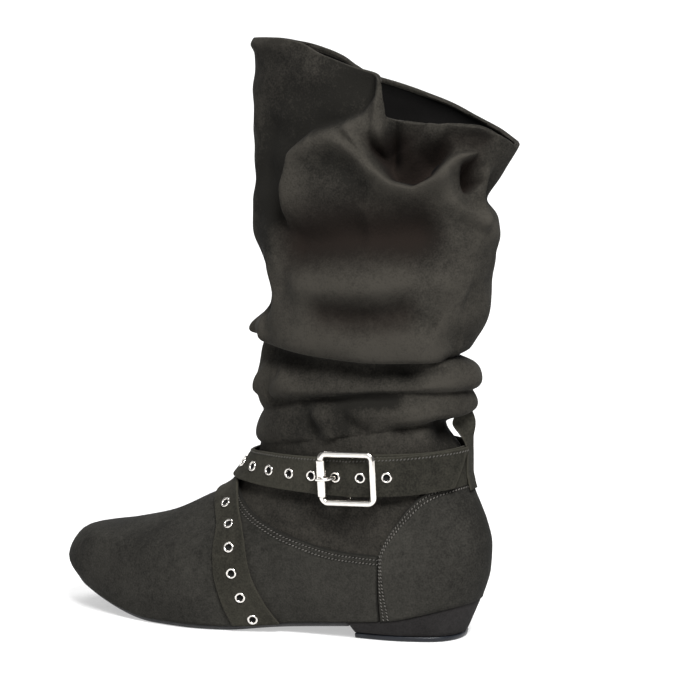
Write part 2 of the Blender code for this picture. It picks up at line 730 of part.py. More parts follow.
def vamp_strap_facet(turn, level):
    """Point of the vamp strap's outer face as it is cut into facets by shell."""
    corners = FACE + (VAMP_STRAP_GAP + STRAP) * OUT
    place = np.degrees(turn) % 360 / (360 / COLUMNS)
    across = np.floor(place).astype(int) % COLUMNS
    row = np.clip(np.searchsorted(LEVELS, level, side="right") - 1, 0, len(LEVELS) - 2)
    u = (place - np.floor(place))[..., None]
    v = np.clip((level - LEVELS[row]) / (LEVELS[row + 1] - LEVELS[row]), 0, 1)[..., None]
    low, low_beside = corners[row, across], corners[row, (across + 1) % COLUMNS]
    high, high_beside = corners[row + 1, across], corners[row + 1, (across + 1) % COLUMNS]
    over = low * (1 - v) + high * (v - u) + high_beside * u
    under = low * (1 - u) + low_beside * (u - v) + high_beside * v
    return np.where(v >= u, over, under)


def vamp_eyelet_frame(turn, level):
    """Frame of an eyelet that lies flat on the highest facets under its flange."""
    step = 1e-3
    by_turn = (upper_surface(turn + step, level) - upper_surface(turn - step, level)) / (2 * step)
    by_level = (upper_surface(turn, level + step) - upper_surface(turn, level - step)) / (2 * step)
    ahead, out = by_level / np.linalg.norm(by_level), upper_normal(turn, level)
    angle = np.radians(np.arange(0, 360, 15))[:, None]
    flange = EYELET_PROFILE[3][0] * (np.cos(angle) * ahead + np.sin(angle) * np.cross(out, ahead))
    around = flange @ np.linalg.pinv(np.stack([by_turn, by_level], -1)).T
    ring = vamp_strap_facet(turn + around[:, 0], level + around[:, 1])
    middle = ring.mean(axis=0)
    flat = np.linalg.svd(ring - middle)[2][2]
    flat *= np.sign(np.dot(flat, out))
    return frame_matrix(middle + flat * np.max((ring - middle) @ flat), ahead, flat)


def vamp_eyelet_frames():
    """Frames down the middle of the vamp strap, on the outer side and then the inner one."""
    levels = np.linspace(0, 6.6, 34)
    frames = []
    for side in (1, -1):
        turns = side * np.radians(np.linspace(60, 178, 2361))
        points = upper_surface(turns, levels[:, None])
        middle = sum(curve_through(VAMP_STRAP_BAND, edge, points[..., 2]) for edge in (1, 2)) / 2
        found = turns[np.argmin(np.abs(points[..., 1] - middle), axis=1)]
        arc = arc_along(upper_surface(found, levels))
        for place in LOWEST_VAMP_EYELET + EYELET_PITCH * np.arange(VAMP_EYELETS):
            frames.append(vamp_eyelet_frame(np.interp(place, arc, found), np.interp(place, arc, levels)))
    return frames


# Buckle
BAR_SIDES = 8
CORNER = 3.2
ROLLER_RADIUS = 2.6
ROLLER_BORE = BUCKLE_BAR / 2 + 0.3
ROLLER_LENGTH = 20.4
PRONG = 0.75
PRONG_PATH = (
    # ahead of the buckle's middle, out from the upper
    (2.5, 1.75),
    (5.4, 1.6),
    (7.4, 2.4),
    (8.0, 4.8),
    (9.6, 7.9),
    (12.2, 10.0),
    (14.7, 10.4),
    (17.0, 10.0),
)


def tube_rings(path, radius, closed):
    """Rings of a round bar along a path; each ring stands square to the path there."""
    path = np.asarray(path, float)
    if closed:
        along = np.roll(path, -1, 0) - np.roll(path, 1, 0)
    else:
        along = np.gradient(path, axis=0)
    along /= np.linalg.norm(along, axis=1, keepdims=True)
    flat = np.ptp(path, axis=0)
    side = np.eye(3)[np.argmin(flat)]
    across = np.cross(along, side)
    angle = (np.arange(BAR_SIDES) + 0.5) * 2 * np.pi / BAR_SIDES
    radius = np.broadcast_to(radius, len(path))[:, None, None]
    return path[:, None] + radius * (np.cos(angle)[:, None] * across[:, None] + np.sin(angle)[:, None] * side)


def buckle_matrix():
    """Frame at the buckle's middle on the upper's face: along the strap to the front, up across it, and out."""
    matrix = strap_frame(360.0)
    turn, level = strap_place(360.0, 0.0)
    matrix[:3, 3] = base_surface(turn, level) * MM
    return Matrix(matrix.tolist())


FRAME_HEIGHT = 6.6  # middle of the frame's bars above the upper
CENTRE_BAR_HEIGHT = GAP + 0.3 + CENTRE_BAR / 2


def add_buckle():
    matrix = buckle_matrix()
    half_length = (BUCKLE_LENGTH - BUCKLE_BAR) / 2
    half_height = (BUCKLE_HEIGHT - BUCKLE_BAR) / 2
    quarter = np.radians(np.linspace(0, 90, 5))
    loop = []
    for number, (x, y) in enumerate(((1, 1), (-1, 1), (-1, -1), (1, -1))):
        angle = quarter + number * np.pi / 2
        middle = np.array([x * (half_length - CORNER), y * (half_height - CORNER)])
        loop += [(*(middle + CORNER * np.array([np.cos(a), np.sin(a)])), FRAME_HEIGHT) for a in angle]
    rings = tube_rings(loop, BUCKLE_BAR / 2, True)
    frame = add_object("buckle_frame", make_mesh("buckle_frame", *rings_to_solid(rings)), NICKEL, matrix)
    post = half_height - 0.6
    crank = ((-post, FRAME_HEIGHT), (-post, CENTRE_BAR_HEIGHT), (post, CENTRE_BAR_HEIGHT), (post, FRAME_HEIGHT))
    path = [(0, up, out) for up, out in crank]
    bar = add_cutter("centre_bar", *bar_to_solid(tube_rings(path, CENTRE_BAR / 2, False)))
    bar.matrix_world = matrix
    cut(frame, bar, "UNION")
    ends = ROLLER_LENGTH / 2
    wall = ((ROLLER_RADIUS, -ends), (ROLLER_RADIUS, ends), (ROLLER_BORE, ends), (ROLLER_BORE, -ends))
    roller = turned(wall, 12)[..., [0, 2, 1]] + [half_length, 0, FRAME_HEIGHT]
    add_object("buckle_roller", make_mesh("buckle_roller", *rings_to_solid(roller)), NICKEL, matrix)
    path = [(ahead, 0, out) for ahead, out in PRONG_PATH]
    taper = PRONG * np.linspace(1, 0.8, len(path))
    prong = make_mesh("buckle_prong", *bar_to_solid(tube_rings(path, taper, False)))
    add_object("buckle_prong", prong, NICKEL, matrix)


add_upper()
add_vamp()
add_counter()
add_outsole()
add_heel()
add_heel_lift()
add_insole()
add_eyelets(add_vamp_strap(), vamp_eyelet_frames(), "vamp_eyelet")
add_eyelets(add_ankle_strap(), ankle_eyelet_frames(), "ankle_eyelet")
add_strap_keeper()
add_buckle()
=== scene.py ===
"""Looks of the left slouch dance boot: napped suede, riveted straps, stitching and nickel hardware.

Tables are in millimetres and degrees, as a pattern cutter would write them, and MM turns them into metres.
The toe points to -Y, the outer side of the foot is +X, and the floor is z = 0. The origin is the centre of
the heel's tread.
"""

import bpy
import numpy as np
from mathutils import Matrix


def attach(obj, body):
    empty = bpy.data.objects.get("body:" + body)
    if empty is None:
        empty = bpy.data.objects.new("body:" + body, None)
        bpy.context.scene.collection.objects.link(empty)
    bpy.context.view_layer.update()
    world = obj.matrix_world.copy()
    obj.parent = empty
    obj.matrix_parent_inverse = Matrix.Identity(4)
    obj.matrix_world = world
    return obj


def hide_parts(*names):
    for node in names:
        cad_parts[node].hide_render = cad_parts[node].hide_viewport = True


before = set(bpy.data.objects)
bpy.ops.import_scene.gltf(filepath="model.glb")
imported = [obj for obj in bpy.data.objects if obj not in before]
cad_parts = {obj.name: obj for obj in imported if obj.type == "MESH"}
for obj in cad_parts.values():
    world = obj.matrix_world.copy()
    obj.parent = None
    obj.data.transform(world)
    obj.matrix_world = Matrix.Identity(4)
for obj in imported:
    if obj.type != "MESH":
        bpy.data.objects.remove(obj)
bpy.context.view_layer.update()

# Upper: one soft suede sock of foot and shaft, backed with a dark lining and turned in at the collar.
# It is pulled over a last and cemented under the foot; the slack shaft drops in rolls above the ankle.
MM = 0.001
WALL = 1.6  # suede and its lining
FEATHER_OUTLINE = (
    # share of the length from heel to toe, half width against a unit circle on the outer and inner side
    (0.00, 60.0, 60.0),
    (0.12, 45.0, 45.0),
    (0.40, 31.0, 27.0),
    (0.66, 45.0, 42.5),
    (0.85, 46.0, 47.0),
    (1.00, 52.0, 52.0),
)
TOE_SWING = 6.0  # how far the toe turns to the inner side
BALL_HEIGHT = 3.2  # of the bottom edge where the forefoot stands
FEATHER_HEIGHT = (
    # share of the length, height of the bottom edge: heel seat, arch, ball and toe spring
    (0.00, 22.6),
    (0.02, 21.8),
    (0.05, 20.1),
    (0.10, 16.7),
    (0.16, 13.2),
    (0.26, 10.4),
    (0.45, 5.6),
    (0.56, BALL_HEIGHT),
    (0.74, BALL_HEIGHT),
    (1.00, 18.0),
)
SECTIONS = (
    # level, front y, front z, back y, back z, half width at back, at front, outline share, spread, arch share
    (0, -210.0, 18.0, 35.0, 22.6, 46.0, 44.0, 1.0, 0.0, 1.0),
    (1, -216.0, 28.0, 39.5, 38.0, 45.0, 43.0, 0.9, 2.6, 0.75),
    (2, -206.0, 43.0, 40.5, 52.0, 42.0, 40.0, 0.62, 1.2, 0.35),
    (3, -180.0, 48.8, 38.0, 64.0, 39.0, 32.0, 0.35, 0.3, 0.12),
    (4, -150.0, 56.7, 34.5, 73.0, 38.5, 28.5, 0.14, 0.0, 0.03),
    (5, -127.0, 67.5, 30.5, 82.0, 38.5, 28.5, 0.04, 0.0, 0.0),
    (6, -109.0, 77.0, 27.0, 94.0, 38.0, 31.0, 0.0, 0.0, 0.0),
    (7, -94.0, 98.0, 27.0, 119.0, 37.0, 34.0, 0.0, 0.0, 0.0),
    (8, -90.5, 122.0, 30.0, 138.0, 37.0, 36.0, 0.0, 0.0, 0.0),
    (9, -89.0, 160.0, 30.0, 158.0, 38.0, 37.0, 0.0, 0.0, 0.0),
    (10, -91.0, 198.0, 38.0, 192.0, 41.0, 39.0, 0.0, 0.0, 0.0),
    (11, -97.0, 244.0, 44.0, 230.0, 42.0, 40.0, 0.0, 0.0, 0.0),
    (12, -97.5, 284.0, 46.0, 250.0, 41.0, 39.0, 0.0, 0.0, 0.0),
    (13, -96.0, 328.0, 56.0, 271.0, 39.0, 36.0, 0.0, 0.0, 0.0),
)
TOP_LEVEL = SECTIONS[-1][0]
RIM = (
    # turn, height of the collar's edge, with the sharp tuck on the outer side
    (0.0, 270.5),
    (22.0, 277.5),
    (36.0, 282.0),
    (59.0, 284.0),
    (75.0, 285.5),
    (78.6, 288.5),
    (80.8, 306.0),
    (84.0, 309.0),
    (96.0, 313.5),
    (104.0, 317.0),
    (112.0, 320.5),
    (121.5, 326.0),
    (135.0, 328.0),
    (182.0, 328.0),
    (204.0, 327.5),
    (221.0, 325.0),
    (233.0, 321.0),
    (241.0, 317.0),
    (246.0, 312.5),
    (253.5, 307.0),
    (264.0, 303.0),
    (274.0, 299.0),
    (286.5, 294.0),
    (304.0, 285.5),
    (318.0, 279.5),
    (344.0, 272.0),
    (360.0, 270.5),
)
RIM_LEVELS = 2  # levels over which the collar's edge is lifted to RIM
ROLLS = (
    # lower crease at back, outer, front, inner, upper crease at back, outer, front, inner, out, sag, peak
    (124.0, 113.0, 103.5, 117.0, 138.0, 136.5, 121.0, 132.0, 4.0, 1.0, 0.45),
    (138.0, 136.5, 121.0, 132.0, 157.0, 156.0, 163.0, 158.0, 5.5, 1.5, 0.45),
    (157.0, 156.0, 163.0, 158.0, 240.0, 256.0, 280.0, 262.0, 7.0, 5.0, 0.13),
)
FOLDS = (
    # name, half width left of the path as seen from outside, right of it, rise, lift, path of turn and height
    ("front_flap", 10.0, 6.0, 7.0, -1.8, ((216, 170), (204, 172), (184, 172), (172, 168))),
    ("front_hollow", 22.0, 9.0, -10.0, 0.0, ((206, 186), (182, 187), (160, 187), (146, 190), (134, 196))),
    ("flap_edge", 3.5, 4.5, 2.0, -0.5, ((153, 204), (150, 188), (146, 174), (146, 162))),
    ("front_panel_step", 36.0, 2.4, -8.0, 0.0, (
        (129, 216), (128, 238), (127, 254), (122.5, 271), (111, 281), (97, 286), (88, 291),
        (84.5, 300), (83.5, 330), (83.5, 372),
    )),
    ("pillow_lip", 2.8, 8.0, 5.0, -1.2, (
        (124, 222), (123.5, 236), (123, 251), (118.5, 267), (108, 275.5), (95, 280), (87, 286),
        (83, 295),
    )),
    ("corner_tube", 2.1, 2.1, 4.5, -1.1, ((84, 318), (82.5, 306), (80.5, 294), (78.5, 280), (77, 268))),
    ("corner_crease", 3.2, 2.6, -6.0, 0.0, ((78, 303), (76.5, 288), (74.5, 272), (71, 260))),
    ("triangle_crease", 3.5, 2.6, -4.0, 0.0, ((99, 285), (88, 274), (79, 264), (73, 257))),
    ("cowl_pocket", 14.0, 2.6, -14.0, -6.0, (
        (83, 282), (76, 268), (68.5, 258.5), (60, 256), (54, 260), (49, 268), (44, 275),
    )),
    ("cowl_lip", 1.8, 8.0, 8.0, 1.5, (
        (94, 287), (85, 272), (78, 260), (69, 251.5), (60, 249.5), (53, 254), (48, 262), (41, 267),
        (31, 268), (23, 262),
    )),
    ("rim_hollow", 6.0, 8.0, -4.0, 0.0, ((56, 276), (45, 277), (34, 276), (22, 272))),
    ("hook_pocket", 7.0, 3.0, -11.0, -2.5, ((37, 267), (34, 260), (31, 253), (27, 247))),
    ("hook_side", 4.0, 5.0, 4.0, -1.0, ((22, 264), (18, 252), (16, 240), (20, 226))),
    ("hook_ridge", 3.0, 7.0, 5.0, -1.0, ((48, 267), (45, 256), (40, 246), (33, 240), (22, 236), (10, 234))),
    ("back_notch", 10.0, 6.0, -7.0, 0.0, ((26, 247), (8, 245), (-10, 243), (-30, 241), (-60, 238))),
    ("back_bulge", 8.0, 10.0, 3.0, -0.6, ((32, 226), (10, 224), (-10, 222), (-40, 220), (-65, 218))),
    ("pillow_dent", 17.0, 12.0, -9.5, 0.0, ((137, 213), (112, 221), (84, 224), (60, 224), (36, 230))),
    ("pillow_streak", 4.0, 4.0, 1.6, -0.4, ((83, 244), (81, 232), (80, 220), (82, 210))),
    ("pillow_belly", 9.0, 9.0, 6.0, -1.5, ((128, 200), (98, 199.5), (78, 201), (50, 206))),
    ("lower_dent", 8.0, 8.0, -6.0, 0.0, ((114, 187), (90, 184), (70, 183), (48, 187))),
    ("lower_dent_back", 5.0, 6.0, -3.0, 0.0, ((56, 186), (48, 180), (40, 176))),
    ("back_cheek", 8.0, 8.0, 3.0, -0.8, ((50, 206), (38, 200), (22, 192))),
    ("back_low", 9.0, 8.0, -8.0, 0.0, ((44, 174), (22, 170), (4, 168), (-16, 167), (-45, 167), (-75, 166))),
    ("main_crease", 3.0, 8.0, -7.0, 0.0, (
        (168, 160), (140, 157.5), (110, 154.5), (80, 152.5), (55, 153), (36, 156),
    )),
    ("second_crease", 3.0, 4.0, -4.0, 0.0, (
        (160, 128), (140, 131), (115, 133.5), (88, 134.5), (62, 135.5), (40, 136),
    )),
    ("back_nick", 5.0, 4.0, -8.0, 0.0, (
        (42, 160), (20, 160.5), (0, 159), (-20, 158), (-45, 157), (-65, 157),
    )),
    ("second_roll_set_back", 7.0, 7.0, -3.0, 0.0, ((130, 145), (104, 146), (76, 147), (44, 148))),
    ("second_roll_pleat", 3.0, 4.0, 2.2, -0.6, ((146, 152), (154, 143), (160, 132))),
    ("second_roll_dip", 4.0, 4.0, -2.6, 0.0, ((132, 150), (142, 140), (148, 130))),
    ("second_crease_end", 2.5, 3.0, -3.0, 0.0, ((60, 151), (44, 150), (26, 152))),
    ("low_pleat_front", 4.0, 4.0, -2.8, 0.0, ((118, 132), (108, 122), (101, 110))),
    ("low_pleat_ridge", 4.5, 4.5, 2.4, -0.6, ((108, 130), (98, 120), (92, 110))),
    ("low_pleat_middle", 4.0, 4.0, -2.6, 0.0, ((94, 130), (84, 122), (72, 116))),
    ("low_crease_back", 3.0, 3.5, -3.5, 0.0, ((64, 118), (50, 120), (36, 122), (20, 123))),
    ("strap_squeeze", 4.0, 6.0, -2.5, 0.0, ((124, 83), (100, 80), (80, 79), (60, 80), (40, 84))),
    ("panel_fold", 3.5, 5.0, -1.8, 0.0, ((92, 75), (81, 67), (71, 61), (63, 57))),
    ("panel_ridge", 3.0, 3.0, 0.9, 0.0, ((74, 61), (63, 59), (53, 58.5))),
    ("pillow_top_hollow", 9.0, 9.0, -3.5, 0.0, ((108, 264), (92, 259), (76, 249))),
    ("low_roll_hollow", 7.0, 7.0, -3.0, 0.0, ((132, 120), (104, 120), (74, 121), (46, 122))),
    ("strap_pinch", 12.0, 4.0, -11.0, 0.0, (
        (-70, 119.5), (-40, 119.5), (-10, 119.5), (20, 119.5), (42, 120),
    )),
    ("front_panel_dip", 9.0, 9.0, -1.8, 0.0, ((150, 240), (146, 262), (140, 290))),
    ("front_panel_ridge", 8.0, 8.0, 1.6, -0.4, ((162, 214), (160, 244), (154, 280), (150, 306))),
    ("front_hem", 3.2, 3.2, 2.2, 0.0, ((124, 321), (142, 324.8), (180, 324.8), (212, 324.5), (236, 317))),
    ("inner_hollow", 14.0, 14.0, -4.0, 0.0, ((306, 264), (290, 258), (260, 250), (250, 246))),
    ("inner_ridge", 10.0, 12.0, 4.0, -1.0, ((320, 238), (300, 231), (262, 223), (244, 220))),
    ("inner_dent", 9.0, 10.0, -4.0, 0.0, ((316, 206), (296, 198), (268, 204), (252, 212))),
    ("inner_cheek", 9.0, 9.0, 3.4, -0.8, ((330, 190), (306, 182), (276, 184), (250, 192))),
    ("inner_pleat", 4.0, 4.0, -2.6, 0.0, ((300, 150), (280, 146), (262, 140), (246, 138))),
    ("inner_low_pleat", 4.0, 4.0, -2.4, 0.0, ((310, 128), (290, 123), (270, 119))),
    ("inner_collar_fold", 5.0, 8.0, 3.6, -0.9, ((330, 262), (312, 272), (290, 284), (270, 292))),
    ("back_drape", 6.0, 8.0, -3.6, 0.0, ((350, 226), (336, 216), (322, 214))),
)
# folds whose hollows are darkened brown as painted shade
BROWN_SHADE_FOLDS = ("pillow_dent", "lower_dent", "cowl_pocket", "rim_hollow", "hook_pocket")
SHAFT_RADIUS = 57.0  # radius on which the shaft is unrolled for its folds
FOLD_END = 0.2  # share of a fold's length over which it fades out at either end
UNEVEN = 0.35  # slight unevenness of slack suede
UNEVEN_FROM = 110.0  # height at which it starts
UNEVEN_GROWS = 30.0  # height over which it grows in
UNEVEN_WAVES = (
    # waves round the shaft, radians per millimetre of height, phase
    (7, 0.11, 0.0),
    (11, -0.17, 1.3),
    (3, 0.31, 0.0),
)


def curve_through(table, number, at):
    """Monotone cubic through one column of a table against its first; tangents are harmonic mean slopes."""
    x = np.array([row[0] for row in table], float)
    y = np.array([row[number] for row in table], float)
    step = np.diff(x)
    slope = np.diff(y) / step
    total = np.where(slope[:-1] + slope[1:] == 0, 1, slope[:-1] + slope[1:])
    middle = np.where(slope[:-1] * slope[1:] > 0, 2 * slope[:-1] * slope[1:] / total, 0)
    tangent = np.concatenate([slope[:1], middle, slope[-1:]])
    at = np.clip(np.asarray(at, float), x[0], x[-1])
    k = np.clip(np.searchsorted(x, at, side="right") - 1, 0, len(step) - 1)
    t = (at - x[k]) / step[k]
    swing = t * (1 - t) * step[k] * (tangent[k] * (1 - t) - tangent[k + 1] * t)
    return y[k] + (y[k + 1] - y[k]) * (3 * t**2 - 2 * t**3) + swing


def base_surface(turn, level):
    """Boot without folds: ovals between a back and a front point, x = half width times the sine of the turn
    and y from back to front by half a cosine, the lowest ones following the sole's outline and arch."""
    turn, level = np.broadcast_arrays(np.asarray(turn, float), np.asarray(level, float))
    columns = (curve_through(SECTIONS, number, level) for number in range(1, 10))
    front_y, front_z, back_y, back_z, half_back, half_front, outline, spread, arch = columns
    share = (1 - np.cos(turn)) / 2
    outer_side, inner_side = (curve_through(FEATHER_OUTLINE, number, share) for number in (1, 2))
    side = np.where(np.sin(turn) >= 0, outer_side, inner_side)
    half = outline * side + (1 - outline) * (half_back + (half_front - half_back) * share) + spread
    bow = curve_through(FEATHER_HEIGHT, 1, share)
    bow = bow - FEATHER_HEIGHT[0][1] * (1 - share) - FEATHER_HEIGHT[-1][1] * share
    collar = SECTIONS[-1][4] + (SECTIONS[-1][2] - SECTIONS[-1][4]) * share
    rim_lift = curve_through(RIM, 1, np.degrees(turn) % 360) - collar
    near_rim = np.clip((level - TOP_LEVEL + RIM_LEVELS) / RIM_LEVELS, 0, 1)
    x = half * np.sin(turn) - TOE_SWING * outline * share**2
    y = back_y + (front_y - back_y) * share
    z = back_z + (front_z - back_z) * share + arch * bow + near_rim**2 * rim_lift
    return np.stack([x, y, z], -1)


def around(back, outer, front, inner, turn):
    """A value given at four places round the boot, carried between them by two cosines and a sine."""
    lengthwise = (back - front) / 2 * np.cos(turn)
    sideways = (outer - inner) / 2 * np.sin(turn)
    ends = (back + front - outer - inner) / 4 * np.cos(2 * turn)
    return (back + outer + front + inner) / 4 + lengthwise + sideways + ends


def roll_shape(t, peak):
    """Swell of a roll from its lower crease at 0 to its upper one at 1: t / peak times the exponential of
    1 - t / peak, times 1 less the fourth power of t."""
    inside = np.clip(t, 0, 1)
    return inside / peak * np.exp(1 - inside / peak) * (1 - inside**4)


def fold_swell(turn, height, half_left, half_right, path):
    """Ridge or trough along a path on the unrolled shaft: a bell over the distance to it, with its own half
    width on either side, fading out at both ends."""
    points = np.array(path, float)
    centre = points[:, 0].mean()
    across = SHAFT_RADIUS * np.radians((np.degrees(turn) - centre + 180) % 360 - 180)
    place = np.stack([across, height], -1)
    points[:, 0] = SHAFT_RADIUS * np.radians(points[:, 0] - centre)
    steps = np.diff(points, axis=0)
    lengths = np.linalg.norm(steps, axis=1)
    starts = np.insert(np.cumsum(lengths), 0, 0.0)
    nearest = np.full(across.shape, np.inf)
    side = np.zeros(across.shape)
    share = np.zeros(across.shape)
    for start, step, length, before in zip(points, steps, lengths, starts):
        away = place - start
        along = np.clip((away @ step) / length**2, 0, 1)
        apart = away - along[..., None] * step
        distance = np.hypot(apart[..., 0], apart[..., 1])
        closer = distance < nearest
        nearest = np.where(closer, distance, nearest)
        side = np.where(closer, away[..., 0] * step[1] - away[..., 1] * step[0], side)
        share = np.where(closer, (before + along * length) / starts[-1], share)
    half = np.where(side > 0, half_left, half_right)
    end = np.clip(np.minimum(share, 1 - share) / FOLD_END, 0, 1)
    return np.exp(-((nearest / half) ** 2)) * end**2 * (3 - 2 * end)


def boot_surface(turn, level):
    """Boot with its folds: the base moved outwards by rolls, single folds and a faint unevenness, and down by
    the sag of the rolls. Also how far out each point moves, and how deep it lies in a fold darkened brown as
    painted shade."""
    turn, level = np.broadcast_arrays(np.asarray(turn, float), np.asarray(level, float))
    point = base_surface(turn, level)
    step = 1e-3
    along = base_surface(turn + step, level) - base_surface(turn - step, level)
    outwards = np.stack([-along[..., 1], along[..., 0], 0 * along[..., 0]], -1)
    outwards /= np.linalg.norm(outwards, axis=-1, keepdims=True)
    height = point[..., 2]
    out = np.zeros_like(height)
    lift = np.zeros_like(height)
    hollow = np.zeros_like(height)
    for name, half_left, half_right, fold_out, fold_lift, path in FOLDS:
        swell = fold_swell(turn, height, half_left, half_right, path)
        out = out + fold_out * swell
        lift = lift + fold_lift * swell
        hollow = hollow - fold_out * swell * (name in BROWN_SHADE_FOLDS)
    for roll in ROLLS:
        low = around(*roll[:4], turn)
        high = around(*roll[4:8], turn)
        roll_out, roll_sag, peak = roll[8:]
        swell = roll_shape((height - low) / (high - low), peak)
        out = out + roll_out * swell
        lift = lift - roll_sag * swell
    shaft = np.clip((height - UNEVEN_FROM) / UNEVEN_GROWS, 0, 1)
    waves = sum(np.sin(rounds * turn + climb * height + phase) for rounds, climb, phase in UNEVEN_WAVES)
    out = out + UNEVEN * shaft * waves
    point = point + outwards * out[..., None]
    point[..., 2] += lift
    return point, out, hollow


def grid_normals(points):
    """Unit normals of a grid closed round along its rows: up a column crossed with along a row."""
    along = np.roll(points, -1, axis=1) - np.roll(points, 1, axis=1)
    normal = np.cross(np.gradient(points, axis=0), along)
    return normal / np.linalg.norm(normal, axis=-1, keepdims=True)


def grid_faces(rows, columns, wrap_rows=False, wrap_columns=False):
    """Quads of a grid of points numbered row by row, closed on itself along either way if asked."""
    index = np.arange(rows * columns).reshape(rows, columns)
    index = np.concatenate([index, index[:1]], 0) if wrap_rows else index
    index = np.concatenate([index, index[:, :1]], 1) if wrap_columns else index
    corners = (index[:-1, :-1], index[:-1, 1:], index[1:, 1:], index[1:, :-1])
    return np.stack(corners, -1).reshape(-1, 4)


def face_out(points, faces):
    """Faces of a closed surface turned, if need be, so that the volume they enclose is positive."""
    a, b, c, d = (points[faces[:, k]] for k in range(4))
    volume = np.sum(np.cross(b - a, c - a) * (a + b + c)) + np.sum(np.cross(c - a, d - a) * (a + c + d))
    return faces if volume > 0 else faces[:, ::-1]


def make_piece(name, points, faces, materials, nodes, slot, **attributes):
    """Smooth mesh object from points in millimetres, riding on the boot in place of nodes. Each attribute is
    one number per point for its material, apart from material_index, which is one number per face."""
    mesh = bpy.data.meshes.new(name)
    mesh.from_pydata(points * MM, [], faces)
    for material in materials:
        mesh.materials.append(material)
    for label, values in attributes.items():
        if label == "material_index":
            mesh.polygons.foreach_set("material_index", values.astype(np.int32))
        else:
            layer = mesh.attributes.new(label, "FLOAT", "POINT")
            layer.data.foreach_set("value", values.astype(np.float32).ravel())
    mesh.shade_smooth()
    mesh.update()
    piece = bpy.data.objects.new(name, mesh)
    bpy.context.scene.collection.objects.link(piece)
    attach(piece, "root")
    if nodes:
        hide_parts(*nodes)
    return piece


def add_node(tree, kind, **inputs):
    """Shader node with its inputs set: a node output is linked, anything else becomes the socket's value. An
    underscore in an input's name stands for a space."""
    node = tree.nodes.new(kind)
    for name, value in inputs.items():
        socket = node.inputs[name.replace("_", " ")]
        if isinstance(value, bpy.types.NodeSocket):
            tree.links.new(value, socket)
        else:
            socket.default_value = value
    return node


def noise(tree, scale, detail, stretch=(1, 1, 1)):
    """Noise on Object coordinates, with scale in waves per metre."""
    coordinates = add_node(tree, "ShaderNodeTexCoord").outputs["Object"]
    mapped = add_node(tree, "ShaderNodeMapping", Vector=coordinates, Scale=stretch)
    texture = add_node(tree, "ShaderNodeTexNoise", Vector=mapped.outputs[0], Scale=scale, Detail=detail)
    return texture.outputs["Fac"]


def blend(tree, first, second, weight):
    """first and second mixed as numbers, weight of the second."""
    return add_node(tree, "ShaderNodeMix", Factor=weight, A=first, B=second).outputs["Result"]


def ramp(tree, value, stops):
    """Colour ramp between two stops of place and colour."""
    node = add_node(tree, "ShaderNodeValToRGB", Fac=value)
    for element, (place, colour) in zip(node.color_ramp.elements, stops):
        element.position = place
        element.color = (*colour, 1)
    return node.outputs["Color"]


def new_material(name):
    """Node material, its node tree and its shader."""
    material = bpy.data.materials.new(name)
    material.use_nodes = True
    return material, material.node_tree, material.node_tree.nodes["Principled BSDF"]


def attribute(tree, name):
    """Number stored at each point of a mesh; nothing where the mesh has none."""
    node = tree.nodes.new("ShaderNodeAttribute")
    node.attribute_name = name
    return node.outputs["Fac"]


def sum_of(tree, first, second, weight):
    """first plus second times weight."""
    node = tree.nodes.new("ShaderNodeMath")
    node.operation = "MULTIPLY_ADD"
    tree.links.new(second, node.inputs[0])
    node.inputs[1].default_value = weight
    tree.links.new(first, node.inputs[2])
    return node.outputs[0]


BLOTCH_SCALE = 30  # waves per metre of brushed patches, of mottling and of single fibres
MOTTLE_SCALE = 260
FIBRE_SCALE = 1000
BLOTCH_STRETCH = (1, 1, 0.7)  # patches are brushed up and down the shaft
MOTTLE_SHARE = 0.4
FIBRE_SHARE = 0.42
RELIEF_FIBRE_SHARE = 0.6
RELIEF_DEPTH = 0.0007
NAP_DARK = 0.36  # nap at which the colour is darkest, and lightest
NAP_LIGHT = 0.64
SUEDE_ROUGHNESS = 0.95
SUEDE_GLOSS = 0.12
NAP_AND_SHADE_TONE = 0.15  # change of the nap for a full unit of painted light and shade, and on a cut edge
CUT_TONE = 0.24
HOLLOW_SHADE_SHARE = 0.9  # share of brown painted shade in the deepest hollow
HOLLOW_SHADE_BROWN = (0.0070, 0.0045, 0.0033)


